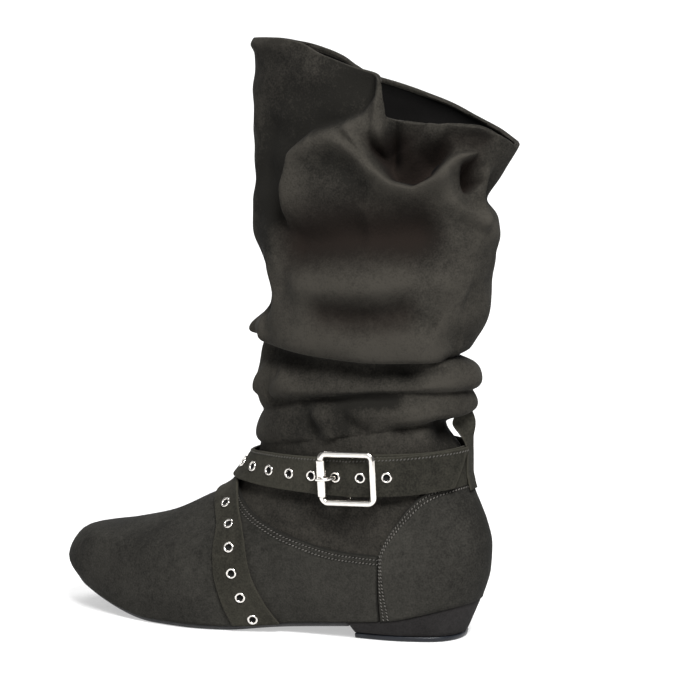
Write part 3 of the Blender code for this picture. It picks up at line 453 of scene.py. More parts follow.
def suede_material(name, dark, light, grain):
    """Napped suede: blotches of brushed nap, mottling and fibre mixed into one nap, paler on ridges and
    darker in creases, partly as rubbed nap and partly as painted light and shade, paler on cut edges, and
    darkened brown in hollows as painted shade. The bump has the mottling and the fibre only."""
    material, tree, shader = new_material(name)
    blotch = noise(tree, BLOTCH_SCALE, 5, BLOTCH_STRETCH)
    mottle = noise(tree, MOTTLE_SCALE, 5)
    fibre = noise(tree, FIBRE_SCALE, 4)
    nap = blend(tree, blend(tree, blotch, mottle, MOTTLE_SHARE), fibre, FIBRE_SHARE)
    # painted light and shade, and nap tone, from each piece's attribute
    nap = sum_of(tree, nap, attribute(tree, "fold"), NAP_AND_SHADE_TONE)
    nap = sum_of(tree, nap, attribute(tree, "cut"), CUT_TONE)
    colour = ramp(tree, nap, ((NAP_DARK, dark), (NAP_LIGHT, light)))
    # painted shade: hollows darkened towards brown
    hollow = add_node(tree, "ShaderNodeMapRange", Value=attribute(tree, "hollow"), To_Max=HOLLOW_SHADE_SHARE)
    brown_shade = tree.nodes.new("ShaderNodeMix")
    brown_shade.data_type = "RGBA"
    tree.links.new(hollow.outputs["Result"], brown_shade.inputs["Factor"])
    tree.links.new(colour, brown_shade.inputs["A"])
    brown_shade.inputs["B"].default_value = (*HOLLOW_SHADE_BROWN, 1)
    tree.links.new(brown_shade.outputs["Result"], shader.inputs["Base Color"])
    shader.inputs["Roughness"].default_value = SUEDE_ROUGHNESS
    shader.inputs["Specular IOR Level"].default_value = SUEDE_GLOSS
    relief = blend(tree, mottle, fibre, RELIEF_FIBRE_SHARE)
    bump = add_node(tree, "ShaderNodeBump", Height=relief, Strength=grain, Distance=RELIEF_DEPTH)
    tree.links.new(bump.outputs["Normal"], shader.inputs["Normal"])
    return material


suede = suede_material("suede", (0.0062, 0.0057, 0.0046), (0.0275, 0.0250, 0.0207), 0.8)
# the lining is dark and its colour is darkened further as painted shade for the inside of the shaft
lining = suede_material("lining", (0.0009, 0.0008, 0.0007), (0.0022, 0.0019, 0.0018), 0.2)

HEM = (
    # inwards, upwards: the turned edge, a groove, and the edge of the facing
    (0.10, 0.45),
    (0.35, 0.75),
    (0.70, 0.85),
    (1.05, 0.70),
    (1.28, 0.25),
    (1.40, -0.25),
    (1.52, 0.25),
    (1.80, 0.65),
    (2.20, 0.80),
    (2.55, 0.60),
    (2.75, 0.15),
)
SHADE_PATCHES = (
    # painted shade, darker patches where the shaft lies in shade: half width left of the path, right of it,
    # tone, path of turn and height
    (10.0, 9.0, -0.9, ((152, 118), (126, 119), (100, 120), (76, 122))),
    (13.0, 11.0, -0.7, ((114, 262), (95, 258), (76, 250))),
    (5.0, 5.0, -1.3, ((98, 134), (76, 135), (54, 135))),
    (14.0, 14.0, -0.5, ((182, 320), (156, 316), (134, 312), (112, 306))),
    (16.0, 16.0, -0.55, ((152, 196), (149, 222), (147, 250), (146, 272))),
)
FACING = 2.8  # thickness of the doubled edge
FACING_ROWS = 2
INSIDE_ROWS = 46
BACKING_ROWS = 6  # rows and columns over which the lining spans the folds
BACKING_COLUMNS = 4
RIM_ROWS = 14  # rows below the collar over which the lining leaves the suede
FULL_LIGHT_RISE = 7.0  # rise of a full ridge, for its full painted light
DARKEST_CREASE_SHADE = -1.5
FULL_SHADE_HOLLOW = 9.0
turn_parts = (
    # finer on the outer side, finest at the tuck
    np.arange(15, 72, 0.85),
    np.arange(72, 90, 0.4),
    np.arange(90, 175, 0.85),
    np.arange(175, 375, 1.65),
)
level_parts = (
    # foot, gathers above the ankle, shaft
    np.linspace(0, 6.4, 40)[:-1],
    np.linspace(6.4, 10, 90)[:-1],
    np.linspace(10, TOP_LEVEL, 106),
)
turns = np.radians(np.concatenate(turn_parts))
levels = np.concatenate(level_parts)
columns = len(turns)
outside, rise, shade_depth = boot_surface(turns, levels[:, None])
out = grid_normals(outside)
rim_up = outside[-1] - outside[-2]
rim_up /= np.linalg.norm(rim_up, axis=-1, keepdims=True)
hem = np.array(HEM)[:, :, None, None]
hem_rows = outside[-1] - hem[:, 0] * out[-1] + hem[:, 1] * rim_up

deepest = rise
for rows_apart in range(1, BACKING_ROWS + 1):
    above = np.concatenate([rise[rows_apart:], np.repeat(rise[-1:], rows_apart, 0)])
    below = np.concatenate([np.repeat(rise[:1], rows_apart, 0), rise[:-rows_apart]])
    deepest = np.minimum(deepest, np.minimum(above, below))
for columns_apart in range(1, BACKING_COLUMNS + 1):
    beside = np.minimum(np.roll(deepest, columns_apart, 1), np.roll(deepest, -columns_apart, 1))
    deepest = np.where(beside < deepest, 0.5 * (beside + deepest), deepest)
last = len(levels) - 1
below_rim = np.clip((last - np.arange(len(levels))) / RIM_ROWS, 0, 1)[:, None]
backing = WALL + (rise - deepest) * below_rim
facing_rows = last - np.arange(FACING_ROWS)
lining_rows = np.linspace(last - FACING_ROWS, 0, INSIDE_ROWS).astype(int)
inside_rows = np.concatenate([facing_rows, lining_rows])
doubled = np.where(np.arange(len(inside_rows)) < FACING_ROWS, FACING - WALL, 0)[:, None]
thickness = doubled + backing[inside_rows]
without_folds = base_surface(turns, levels[:, None])
base_out = grid_normals(without_folds)[inside_rows]
inside = outside[inside_rows] - thickness[..., None] * base_out
upper_grid = np.concatenate([outside, hem_rows, inside])
fold = np.zeros(upper_grid.shape[:2])
# painted light and shade from the folds: paler where the suede rises, darker in creases, partly as rubbed nap
fold[: len(levels)] = np.clip(rise / FULL_LIGHT_RISE, DARKEST_CREASE_SHADE, 1)
all_turns = np.broadcast_to(turns, rise.shape)
# painted shade: darker patches under the rolls, in a crease, in the pillow's hollow and over the front
for half_left, half_right, tone, path in SHADE_PATCHES:
    shade_patch = fold_swell(all_turns, without_folds[..., 2], half_left, half_right, path)
    fold[: len(levels)] += tone * shade_patch
hollow = np.zeros(upper_grid.shape[:2])
# painted shade: how deep each point lies in a brown-shaded hollow
hollow[: len(levels)] = np.clip(shade_depth / FULL_SHADE_HOLLOW, 0, 1)
row_of_face = np.repeat(np.arange(len(upper_grid)), columns)
is_lining = row_of_face >= len(levels) + len(HEM) + FACING_ROWS
upper_points = upper_grid.reshape(-1, 3)
upper_faces = face_out(upper_points, grid_faces(len(upper_grid), columns, True, True))
upper_looks = {"fold": fold, "hollow": hollow, "material_index": is_lining}
make_piece("boot_upper", upper_points, upper_faces, (suede, lining), ("upper",), "suede", **upper_looks)

# Vamp: the toe and side piece, cut from one hide and sewn over the sock along its top line with two rows of
# stitches. Its top edge is turned in, it is lasted under the foot, and its back ends meet the counter.
GAP = 0.35  # between pieces that touch
OVERLAY = 1.2  # thickness of the vamp
EDGE_ROUND = 1.0
STITCH_ROWS = (2.3, 4.7)  # distances inside the edge
GROOVE = 0.4  # depth in which a row of stitches lies
GROOVE_HALF_WIDTH = 0.6
GROOVE_SHADE = 3.5  # painted shade: how much darker the nap is in a groove
EDGE_SHADE = 2.2  # and painted shade at a turned edge
EDGE_SHADE_REACH = 0.7
TUCK = 0.3  # how far hidden faces sink into what lies under them
VAMP_TOP_LINE = (
    # y, z
    (-110.0, 94.0),
    (-103.0, 81.5),
    (-94.0, 72.0),
    (-82.0, 64.5),
    (-67.0, 58.3),
    (-55.0, 54.4),
    (-44.0, 51.7),
    (-32.0, 50.0),
    (-10.0, 49.0),
)
VAMP_BACK = -10.5
VAMP_HALF_LENGTH = 230.0  # from the back edge to the tip of the toe
VAMP_SPACING = 2.6
PANEL_HEIGHT = 58.0
PANEL_SPACING = 1.6
TOE_SHADE = 0.52  # painted shade: darker on the toe and over the instep where the vamp faces up
TOE_TIP = -215.0
TOE_REACH = 34.0
PANEL_LEVELS = np.linspace(0, 7.6, 305)
FROM_EDGE = (0, 0.1, 0.25, 0.5, 0.8, 1.2, 1.6, 2.0, 2.3, 2.6, 3.1, 3.7, 4.2, 4.7, 5.2, 5.8, 6.8, 8.2, 10.0)


def turn_at(level, y):
    """Turn at which the boot's side passes a place along its length, where y runs by half a cosine."""
    front = curve_through(SECTIONS, 1, level)
    back = curve_through(SECTIONS, 3, level)
    return np.arccos(np.clip(1 - 2 * (back - y) / (back - front), -1, 1))


def base_normal(turn, level):
    """Unit normal of the boot without folds, from its slopes along and up."""
    step = 2e-3
    up = base_surface(turn, level + step) - base_surface(turn, np.maximum(level - step, 0))
    along = base_surface(turn + step, level) - base_surface(turn - step, level)
    normal = np.cross(up, along)
    return normal / np.linalg.norm(normal, axis=-1, keepdims=True)


def arc_length(points, axis):
    """Length run along one axis of a grid of points, from nothing at its start."""
    steps = np.linalg.norm(np.diff(points, axis=axis), axis=-1)
    axis = axis if axis >= 0 else axis + 1
    return np.insert(np.cumsum(steps, axis=axis), 0, 0.0, axis=axis)


def spread_from_edge(length, spacing):
    """Shares from 0 to 1 of a length, close together near its start and then evenly spaced."""
    rest = np.arange(length, FROM_EDGE[-1] + spacing / 2, -spacing)[::-1]
    return np.concatenate([FROM_EDGE, rest]) / length


def first_level(past):
    """Level at which each row of values over PANEL_LEVELS first turns positive, by straight interpolation."""
    first = np.maximum(np.argmax(past > 0, axis=1), 1)
    row = np.arange(len(past))
    before, after = past[row, first - 1], past[row, first]
    return PANEL_LEVELS[first - 1] + PANEL_LEVELS[1] * before / (before - after)


def panel_grid(side_turn, past_line, along, up):
    """Turn and level over a panel: columns follow side_turn(along, level) from the bottom edge to the first
    place where past_line turns positive, and rows stand at shares of that way."""
    past = past_line(base_surface(side_turn(along[:, None], PANEL_LEVELS), PANEL_LEVELS))
    level = up[:, None] * first_level(past)
    return side_turn(along, level), level


def slab(outer, inner):
    """Closed sheet between two grids of points: both faces and the strip round their common edge."""
    rows, columns = outer.shape[:2]
    index = np.arange(rows * columns).reshape(rows, columns)
    rim = np.concatenate([index[0, :-1], index[:-1, -1], index[-1, :0:-1], index[:0:-1, 0]])
    ahead = np.roll(rim, -1)
    face = grid_faces(rows, columns)
    edge = np.stack([rim, rim + index.size, ahead + index.size, ahead], -1)
    points = np.concatenate([outer.reshape(-1, 3), inner.reshape(-1, 3)])
    return points, face_out(points, np.concatenate([face, face[:, ::-1] + index.size, edge]))


def rounded_edge(distance):
    """Quarter round from 0 at an edge to 1 inside it."""
    return np.sqrt(1 - (1 - np.clip(distance / EDGE_ROUND, 0, 1)) ** 2)


def thread_grooves(distance):
    """Shallow bells along the two rows of stitches inside an edge."""
    return GROOVE * sum(np.exp(-(((distance - row) / GROOVE_HALF_WIDTH) ** 2)) for row in STITCH_ROWS)


def edge_shade(distance):
    """Painted shade along a turned edge, as an amount of nap tone: a dark bell where a shadow line falls by
    the edge.
    """
    return -EDGE_SHADE * np.exp(-((distance / EDGE_SHADE_REACH) ** 2))


def vamp_turn(along, level):
    """From the outer back edge at 1, round the toe at 0, to the inner back edge at -1."""
    edge = turn_at(level, VAMP_BACK)
    return np.where(along < 0, -1, 1) * (np.pi - (np.pi - edge) * np.abs(along))


def over_vamp_line(point):
    """How far a point lies above the vamp's top line."""
    return point[..., 2] - curve_through(VAMP_TOP_LINE, 1, point[..., 1])


vamp_half = 1 - spread_from_edge(VAMP_HALF_LENGTH, VAMP_SPACING)
vamp_along = np.concatenate([vamp_half, -vamp_half[-2::-1]])
vamp_up = 1 - spread_from_edge(PANEL_HEIGHT, PANEL_SPACING)[::-1]
vamp_place = panel_grid(vamp_turn, over_vamp_line, vamp_along, vamp_up)
vamp_base, vamp_out = base_surface(*vamp_place), base_normal(*vamp_place)
vamp_from_top = arc_length(vamp_base[::-1], 0)[::-1]
vamp_from_back = np.minimum(arc_length(vamp_base, 1), arc_length(vamp_base[:, ::-1], 1)[:, ::-1])
vamp_rise = OVERLAY * np.minimum(rounded_edge(vamp_from_top), rounded_edge(vamp_from_back))
vamp_rise = vamp_rise - thread_grooves(vamp_from_top)
vamp_face = vamp_base + (GAP + vamp_rise)[..., None] * vamp_out
vamp_mesh = slab(vamp_face, vamp_base - TUCK * vamp_out)
panel_suede = suede_material("panel_suede", (0.0085, 0.0081, 0.0068), (0.0275, 0.0261, 0.0223), 0.6)
# painted shade along the vamp's edges and in its stitch grooves
vamp_shade = edge_shade(np.minimum(vamp_from_top, vamp_from_back))
vamp_shade = vamp_shade - GROOVE_SHADE * thread_grooves(vamp_from_top)
# painted shade: darker towards the toe's tip and where the vamp faces up
toe_and_top_shade = np.exp(-(((vamp_base[..., 1] - TOE_TIP) / TOE_REACH) ** 2)) + np.clip(vamp_out[..., 2], 0, 1)
vamp_tone = np.tile((vamp_shade - TOE_SHADE * np.clip(toe_and_top_shade, 0, 1)).ravel(), 2)
make_piece("vamp_panel", *vamp_mesh, (panel_suede,), ("vamp",), "suede", fold=vamp_tone)

# Counter: the heel piece, sewn over the back of the sock with two rows of stitches, edge to edge with the
# vamp. Its top edge rises from the vamp's end at the side and curves back over the heel bone.
COUNTER_LINE = (
    # z, y
    (-10.0, -10.8),
    (47.0, -10.2),
    (59.0, -6.5),
    (68.0, -1.0),
    (78.0, 6.5),
    (84.5, 13.5),
    (88.5, 24.0),
    (89.5, 32.0),
)
COUNTER_FRONT = -10.0
COUNTER_THICKNESS = 1.5
COUNTER_HALF_LENGTH = 62.0
COUNTER_SPACING = 1.8
SIDE_LIGHT = 0.25  # painted light: the counter made paler, showing on its sides
BACK_SHADE = 1.1  # painted shade: darker where it faces the back


def counter_turn(along, level):
    """From the outer front edge at 1, round the heel at 0, to the inner front edge at -1."""
    return along * turn_at(level, COUNTER_FRONT)


def before_counter_line(point):
    """How far a point lies in front of the counter's edge."""
    return curve_through(COUNTER_LINE, 1, point[..., 2]) - point[..., 1]


def at_distance(distance, values, wanted):
    """Values in each column of a grid where its distance, falling towards the last row, is the one wanted."""
    after = np.clip(np.sum(distance > wanted, axis=0), 1, len(distance) - 1)
    column = np.arange(distance.shape[1])
    far, near = distance[after - 1, column], distance[after, column]
    share = np.clip((far - wanted) / (far - near), 0, 1)[:, None]
    return values[after - 1, column] * (1 - share) + values[after, column] * share


counter_half = 1 - spread_from_edge(COUNTER_HALF_LENGTH, COUNTER_SPACING)
counter_along = np.concatenate([counter_half, -counter_half[-2::-1]])
counter_up = 1 - spread_from_edge(PANEL_HEIGHT, PANEL_SPACING)[::-1]
counter_place = panel_grid(counter_turn, before_counter_line, counter_along, counter_up)
counter_base, counter_out = base_surface(*counter_place), base_normal(*counter_place)
counter_from_top = arc_length(counter_base[::-1], 0)[::-1]
counter_from_outer = arc_length(counter_base, 1)
counter_from_inner = arc_length(counter_base[:, ::-1], 1)[:, ::-1]
counter_from_side = np.minimum(counter_from_outer, counter_from_inner)
counter_from_edge = np.minimum(counter_from_top, counter_from_side)
counter_rise = COUNTER_THICKNESS * rounded_edge(counter_from_edge) - thread_grooves(counter_from_edge)
counter_face = counter_base + (GAP + counter_rise)[..., None] * counter_out
counter_mesh = slab(counter_face, counter_base - TUCK * counter_out)
# painted shade along the counter's edges and in its stitch grooves
counter_shade = edge_shade(counter_from_edge) - GROOVE_SHADE * thread_grooves(counter_from_edge)
# painted light on the counter's sides and painted shade where it faces the back
heel_light_and_shade = SIDE_LIGHT - BACK_SHADE * np.clip(counter_out[..., 1], 0, 1) ** 2
counter_tone = np.tile((counter_shade + heel_light_and_shade).ravel(), 2)
make_piece("counter_panel", *counter_mesh, (panel_suede,), ("counter",), "suede", fold=counter_tone)

# Stitching: waxed thread a little paler than the suede, in paired rows inside the edges of vamp and counter.
# Each stitch is a short slanting bar of thread with drawn-in ends, half sunk in its groove.
STITCH_PITCH = 2.0
STITCH_LENGTH = 1.25
STITCH_RADIUS = 0.42
STITCH_SLANT = 0.5
STITCH_END = 0.02  # share of the radius left at the ends
PATH_STEP = 0.3  # either way along a path, for its direction
THREAD_DARK = (0.030, 0.028, 0.024)
THREAD_LIGHT = (0.080, 0.074, 0.065)
thread, thread_tree, thread_shader = new_material("thread")
thread_tint = ramp(thread_tree, noise(thread_tree, 900, 3), ((0.35, THREAD_DARK), (0.65, THREAD_LIGHT)))
thread_tree.links.new(thread_tint, thread_shader.inputs["Base Color"])
thread_shader.inputs["Roughness"].default_value = 0.75


def bar_faces(stations, ring):
    """Quads of a bar through closed rings and of its ends; a ring's second half runs back along the first."""
    index = np.arange(stations * ring).reshape(stations, ring)
    here = np.arange(ring // 2 - 1)
    cap = np.stack([here, here + 1, ring - 2 - here, ring - 1 - here], -1)
    return np.concatenate([grid_faces(stations, ring, False, True), index[0][cap][:, ::-1], index[-1][cap]])


def along_path(wanted, arc, values):
    """Rows of values given along an arc, at the lengths wanted, by straight interpolation."""
    return np.stack([np.interp(wanted, arc, values[:, k]) for k in range(3)], -1)


def stitches(paths):
    """Points and faces of stitches spaced along paths of points and normals. Each one is a six-sided bar laid
    slantwise on the path, its radius the root of 1 less the fourth power of the place along it."""
    angle = np.radians(np.arange(0, 360, 60))
    way = np.cos(np.radians(np.linspace(180, 0, 7)))[:, None]
    radius = np.clip(np.sqrt(1 - way**4), STITCH_END, 1) * STITCH_RADIUS
    shape = (way * STITCH_LENGTH / 2, radius * np.cos(angle), radius * np.sin(angle))
    shape = np.stack(np.broadcast_arrays(*shape), -1)
    faces = bar_faces(len(way), len(angle))
    all_points = []
    for points, normals in paths:
        arc = arc_length(points, 0)
        middle = np.arange(STITCH_PITCH / 2, arc[-1], STITCH_PITCH)
        centre = along_path(middle, arc, points)
        up = along_path(middle, arc, normals)
        along = along_path(middle + PATH_STEP, arc, points) - along_path(middle - PATH_STEP, arc, points)
        along /= np.linalg.norm(along, axis=-1, keepdims=True)
        side = np.cross(up, along)
        along = along + STITCH_SLANT * side
        frames = np.stack([along, side, up], 1)
        all_points.append(centre[:, None] + shape.reshape(-1, 3) @ frames)
    points = np.concatenate(all_points)
    start = np.arange(len(points))[:, None, None] * points.shape[1]
    return points.reshape(-1, 3), (faces + start).reshape(-1, 4)


counter_grids = (counter_face, counter_out, counter_from_top[..., None])
seams = []
for row in STITCH_ROWS:
    seams.append((at_distance(vamp_from_top, vamp_face, row), at_distance(vamp_from_top, vamp_out, row)))
    top_keep = at_distance(counter_from_top, counter_from_side[..., None], row)[:, 0] > row
    seam = [at_distance(counter_from_top, grid, row)[top_keep] for grid in counter_grids[:2]]
    for distance, is_inner in ((counter_from_outer.T[::-1], False), (counter_from_inner.T, True)):
        side_grids = [grid.transpose(1, 0, 2) for grid in counter_grids]
        side_grids = [grid if is_inner else grid[::-1] for grid in side_grids]
        points, normals, from_top = (at_distance(distance, grid, row) for grid in side_grids)
        keep = from_top[:, 0] > row
        side = (points[keep], normals[keep])
        seam = [np.concatenate([t, s[::-1]] if is_inner else [s, t]) for t, s in zip(seam, side)]
    seams.append(tuple(seam))
make_piece("panel_stitching", *stitches(seams), (thread,), (), "suede")

# Sole: a thin leather forefoot sole with rounded edges, a low suede-covered block heel with a slightly
# slanted breast, a thin hard-rubber lift under it, and a padded insole laid inside; all are cemented.
SOLE = 2.85  # thickness
LIFT = 3.0
LIFT_BULGE = 0.25  # how far the lift's side swells
LIFT_BULGE_AT = 0.8  # share of its height
INSOLE = 2.2
INSOLE_ROUND = 0.8
SOLE_INSET = 0.6  # inside the upper's bottom edge
SOLE_BEVEL = 1.8  # further in at the ground
HEEL_INSET = -1.3  # at the top, flush with the counter
HEEL_TAPER_BACK = 7.9
HEEL_TAPER_SIDE = 4.9
HEEL_TOP_ROUND = (0.9, 0.04)  # how far the cover is drawn in at the seat, over this share of the height
HEEL_FOOT_ROUND = (0.35, 0.05)  # and at the lift
BREAST = 61.5  # turn at which the heel's front face cuts the outline
BREAST_SIDE = 0.6  # turn left between heel and sole
BREAST_SLANT = 2.0
BREAST_SHARPNESS = 6  # power by which the slant gathers at the breast


def foot_line(turn, inset):
    """Bottom outline of the boot drawn in by inset along its normal in plan."""
    step = 1e-3
    along = base_surface(turn + step, 0.0) - base_surface(turn - step, 0.0)
    out = np.stack([-along[..., 1], along[..., 0]], -1)
    out /= np.linalg.norm(out, axis=-1, keepdims=True)
    point = base_surface(turn, 0.0)
    point[..., :2] -= np.broadcast_to(inset, turn.shape)[..., None] * out
    return point


def bar(rings):
    """Points and faces of a closed bar through rings of points."""
    points = rings.reshape(-1, 3)
    return points, face_out(points, bar_faces(*rings.shape[:2]))


def foot_slab(turns, layers):
    """Slab under the foot: at each turn a ring up the outer side through the layers and down the inner
    side. Each layer is an inset, a height and a shift to the back."""
    sides = []
    for sign in (1, -1):
        rows = [foot_line(sign * turns, inset) for inset, _, _ in layers]
        for row, (_, height, shift) in zip(rows, layers):
            row[:, 1] += shift
            row[:, 2] = height
        sides.append(np.stack(rows, 1))
    return bar(np.concatenate([sides[0], sides[1][:, ::-1]], 1))


def feather_height(turn):
    """Height of the upper's bottom edge at a turn."""
    return curve_through(FEATHER_HEIGHT, 1, (1 - np.cos(turn)) / 2)


def heel_inset(turn, share):
    """How far the heel's side stands inside the outline at this share of the way down."""
    return HEEL_INSET + share * (HEEL_TAPER_SIDE + (HEEL_TAPER_BACK - HEEL_TAPER_SIDE) * np.cos(turn) ** 2)


def plain_material(name, dark, light, roughness, scale, relief=0.0, specular=0.5):
    """Even material with a slow mottling of its colour and a fine relief."""
    material, tree, shader = new_material(name)
    mottle = noise(tree, scale, 4)
    tree.links.new(ramp(tree, mottle, ((0.35, dark), (0.65, light))), shader.inputs["Base Color"])
    shader.inputs["Roughness"].default_value = roughness
    shader.inputs["Specular IOR Level"].default_value = specular
    if relief:
        bump = add_node(tree, "ShaderNodeBump", Height=mottle, Strength=relief, Distance=0.0004)
        tree.links.new(bump.outputs["Normal"], shader.inputs["Normal"])
    return material


sole_leather = plain_material("sole_leather", (0.012, 0.012, 0.013), (0.024, 0.024, 0.025), 0.6, 300, 0.3)
lift_tints = ((0.006, 0.007, 0.010), (0.010, 0.012, 0.016))
lift_rubber = plain_material("lift_rubber", *lift_tints, 0.34, 160, 0.05, 0.28)
insole_cloth = plain_material("insole_cloth", (0.012, 0.011, 0.011), (0.022, 0.020, 0.020), 0.9, 700, 0.3)

edge_angle = np.radians(np.linspace(0, 90, 6))
sole_turns = np.radians(np.append(BREAST + BREAST_SIDE, np.arange(BREAST + BREAST_SIDE + 1, 179.9, 1.0)))
sole_top = feather_height(sole_turns) - GAP
sole_layers = []
for bend in edge_angle:
    inset = SOLE_INSET + SOLE_BEVEL * (1 - np.sin(bend))
    sole_layers.append((inset, sole_top - SOLE + SOLE / 2 * (1 - np.cos(bend)), 0))
sole_layers.append((SOLE_INSET, sole_top, 0))
sole_mesh = foot_slab(sole_turns, sole_layers)
make_piece("forefoot_sole", *sole_mesh, (sole_leather,), ("outsole",), "sole_leather")

heel_turns = np.radians(np.append(np.arange(0.5, BREAST - BREAST_SIDE, 1.0), BREAST))
heel_top = feather_height(heel_turns) - GAP
to_breast = (np.degrees(heel_turns) / BREAST) ** BREAST_SHARPNESS
heel_layers = []
for share in np.append(np.linspace(1, 0.06, 9), [0.03, 0.0]):
    top_in, foot_in = (
        depth * np.exp(-((way / reach) ** 2))
        for way, (depth, reach) in ((share, HEEL_TOP_ROUND), (1 - share, HEEL_FOOT_ROUND))
    )
    height = heel_top + (LIFT + GAP - heel_top) * share
    inset = heel_inset(heel_turns, share) + (top_in + foot_in)
    heel_layers.append((inset, height, BREAST_SLANT * share * to_breast))
heel_cover = suede_material("heel_cover", (0.0090, 0.0083, 0.0082), (0.0215, 0.0200, 0.0198), 0.3)
make_piece("block_heel", *foot_slab(heel_turns, heel_layers), (heel_cover,), ("heel",), "suede")

lift_edge = heel_inset(heel_turns, 1.0)
lift_shift = BREAST_SLANT * to_breast
lift_layers = []
for bend in edge_angle:
    inset = lift_edge + SOLE_BEVEL * (1 - np.sin(bend))
    lift_layers.append((inset, LIFT / 2 * (1 - np.cos(bend)), lift_shift))
lift_layers.append((lift_edge - LIFT_BULGE, LIFT * LIFT_BULGE_AT, lift_shift))
lift_layers.append((lift_edge, LIFT, lift_shift))
make_piece("heel_tip", *foot_slab(heel_turns, lift_layers), (lift_rubber,), ("heel_lift",), "lift_rubber")

insole_turns = np.radians(np.arange(1.5, 179, 2.0))
insole_low = feather_height(insole_turns)
insole_edge = WALL + 3 * GAP
insole_layers = [(insole_edge, insole_low, 0), (insole_edge, insole_low + INSOLE - INSOLE_ROUND, 0)]
for bend in edge_angle[1:]:
    inset = insole_edge + INSOLE_ROUND * (1 - np.cos(bend))
    insole_layers.append((inset, insole_low + INSOLE - INSOLE_ROUND * (1 - np.sin(bend)), 0))
insole_mesh = foot_slab(insole_turns, insole_layers)
make_piece("padded_insole", *insole_mesh, (insole_cloth,), ("insole",), "lining")

# Vamp strap: a suede strap with raw cut edges, caught under the sole on both sides and crossing the instep.
# It is punched for six eyelets on each side, and its back edge stands clear of the vamp.
STRAP = 1.6  # thickness
STRAP_ROUND = 0.45
EYELET_PITCH = 14.6
VAMP_EYELETS = 6  # on each side
LOWEST_VAMP_EYELET = 4.5  # from the strap's end
HOLE_RADIUS = 2.3
HOLE_SIDES = 24
HOLE_DEPTH = 2.2  # of the punch below the strap's face, and its height above
HOLE_CLEARANCE = 1.5
VAMP_STRAP_GAP = 2 * GAP + OVERLAY
VAMP_STRAP_BAND = (
    # z, front edge y, back edge y
    (-8.0, -92.0, -62.0),
    (4.0, -96.0, -68.5),
    (17.0, -100.8, -76.5),
    (34.0, -105.0, -84.0),
    (52.0, -106.0, -87.5),
    (64.0, -111.0, -92.5),
    (74.0, -119.0, -96.5),
    (92.0, -134.0, -103.0),
)
VAMP_STRAP_STATIONS = 110  # from each side to the ridge
VAMP_STRAP_NOMINAL = 21.0  # width in which its section is drawn
BACK_SPRING = 1.5  # how far the back edge stands off


def line_on_boot(side, share):
    """Turn and level of a line along the vamp strap from the bottom edge to the ridge of the instep. Share is
    0 on its front edge and 1 on its back edge. At each turn, the line is where y first passes its own."""
    turns = np.radians(np.linspace(60, 180, 961))
    points = base_surface(side * turns[:, None], PANEL_LEVELS)
    front, back = (curve_through(VAMP_STRAP_BAND, edge, points[..., 2]) for edge in (1, 2))
    past = points[..., 1] - front - (back - front) * share
    reached = past[:, 0] < 0
    place = np.stack([turns[reached], first_level(past[reached])], -1)
    arc = arc_length(base_surface(side * place[:, 0], place[:, 1]), 0)
    even = np.linspace(0, arc[-1], VAMP_STRAP_STATIONS)
    turn, level = (np.interp(even, arc, place[:, k]) for k in (0, 1))
    return np.stack([turn if side > 0 else 2 * np.pi - turn, level], -1)


def strap_section(width, thick, flat):
    """Rounded rectangle as across and height: over the outer face and back under the inner one."""
    corner = np.radians(np.linspace(0, 90, 4))
    side = -width / 2 + STRAP_ROUND * (1 - np.cos(corner))
    rise = thick - STRAP_ROUND * (1 - np.sin(corner))
    middle = np.linspace(side[-1], -side[-1], flat)[1:-1]
    across = np.concatenate([side, middle, -side[::-1]])
    height = np.concatenate([rise, np.full(flat - 2, thick), rise[::-1]])
    return np.concatenate([across, across[::-1]]), np.concatenate([height, thick - height[::-1]])


def through_three(low, middle, high, a):
    """Parabola through three places given at -1, 0 and 1."""
    return a * (a - 1) / 2 * low + (1 - a**2) * middle + a * (a + 1) / 2 * high


def vamp_strap_place(a):
    """Turn and level over the strap from the outer bottom edge, over the ridge, to the inner one; a is -1
    on the front edge and 1 on the back edge."""
    sides = []
    for side in (1, -1):
        front, middle, back = (line_on_boot(side, share)[:, None] for share in (0.0, 0.5, 1.0))
        sides.append(through_three(front, middle, back, np.asarray(a, float)[None, :, None]))
    place = np.concatenate([sides[0], sides[1][-2::-1]])
    return place[..., 0], place[..., 1]


def frame_at(origin, ahead, out):
    """Rows of a frame: ahead made square to out, the way across, out, and the origin."""
    out = out / np.linalg.norm(out, axis=-1, keepdims=True)
    ahead = ahead - out * np.sum(ahead * out, -1, keepdims=True)
    ahead = ahead / np.linalg.norm(ahead, axis=-1, keepdims=True)
    return np.stack([ahead, np.cross(out, ahead), out, origin], -2)


def set_in(points, frames):
    """Points carried into each of several frames, one copy after the other."""
    return (points @ frames[:, :3] + frames[:, 3:]).reshape(-1, 3)


def copies(faces, count, size):
    """Faces repeated for several copies of a mesh with size points each."""
    return (faces + np.arange(count)[:, None, None] * size).reshape(-1, faces.shape[1])


def turned(profile, sides):
    """Rings of a profile of radius and height carried round the Z axis, one ring for each angle."""
    angle = np.radians(np.arange(sides) * 360 / sides)[:, None]
    radius, height = np.array(profile, float).T
    return np.stack(np.broadcast_arrays(radius * np.cos(angle), radius * np.sin(angle), height), -1)


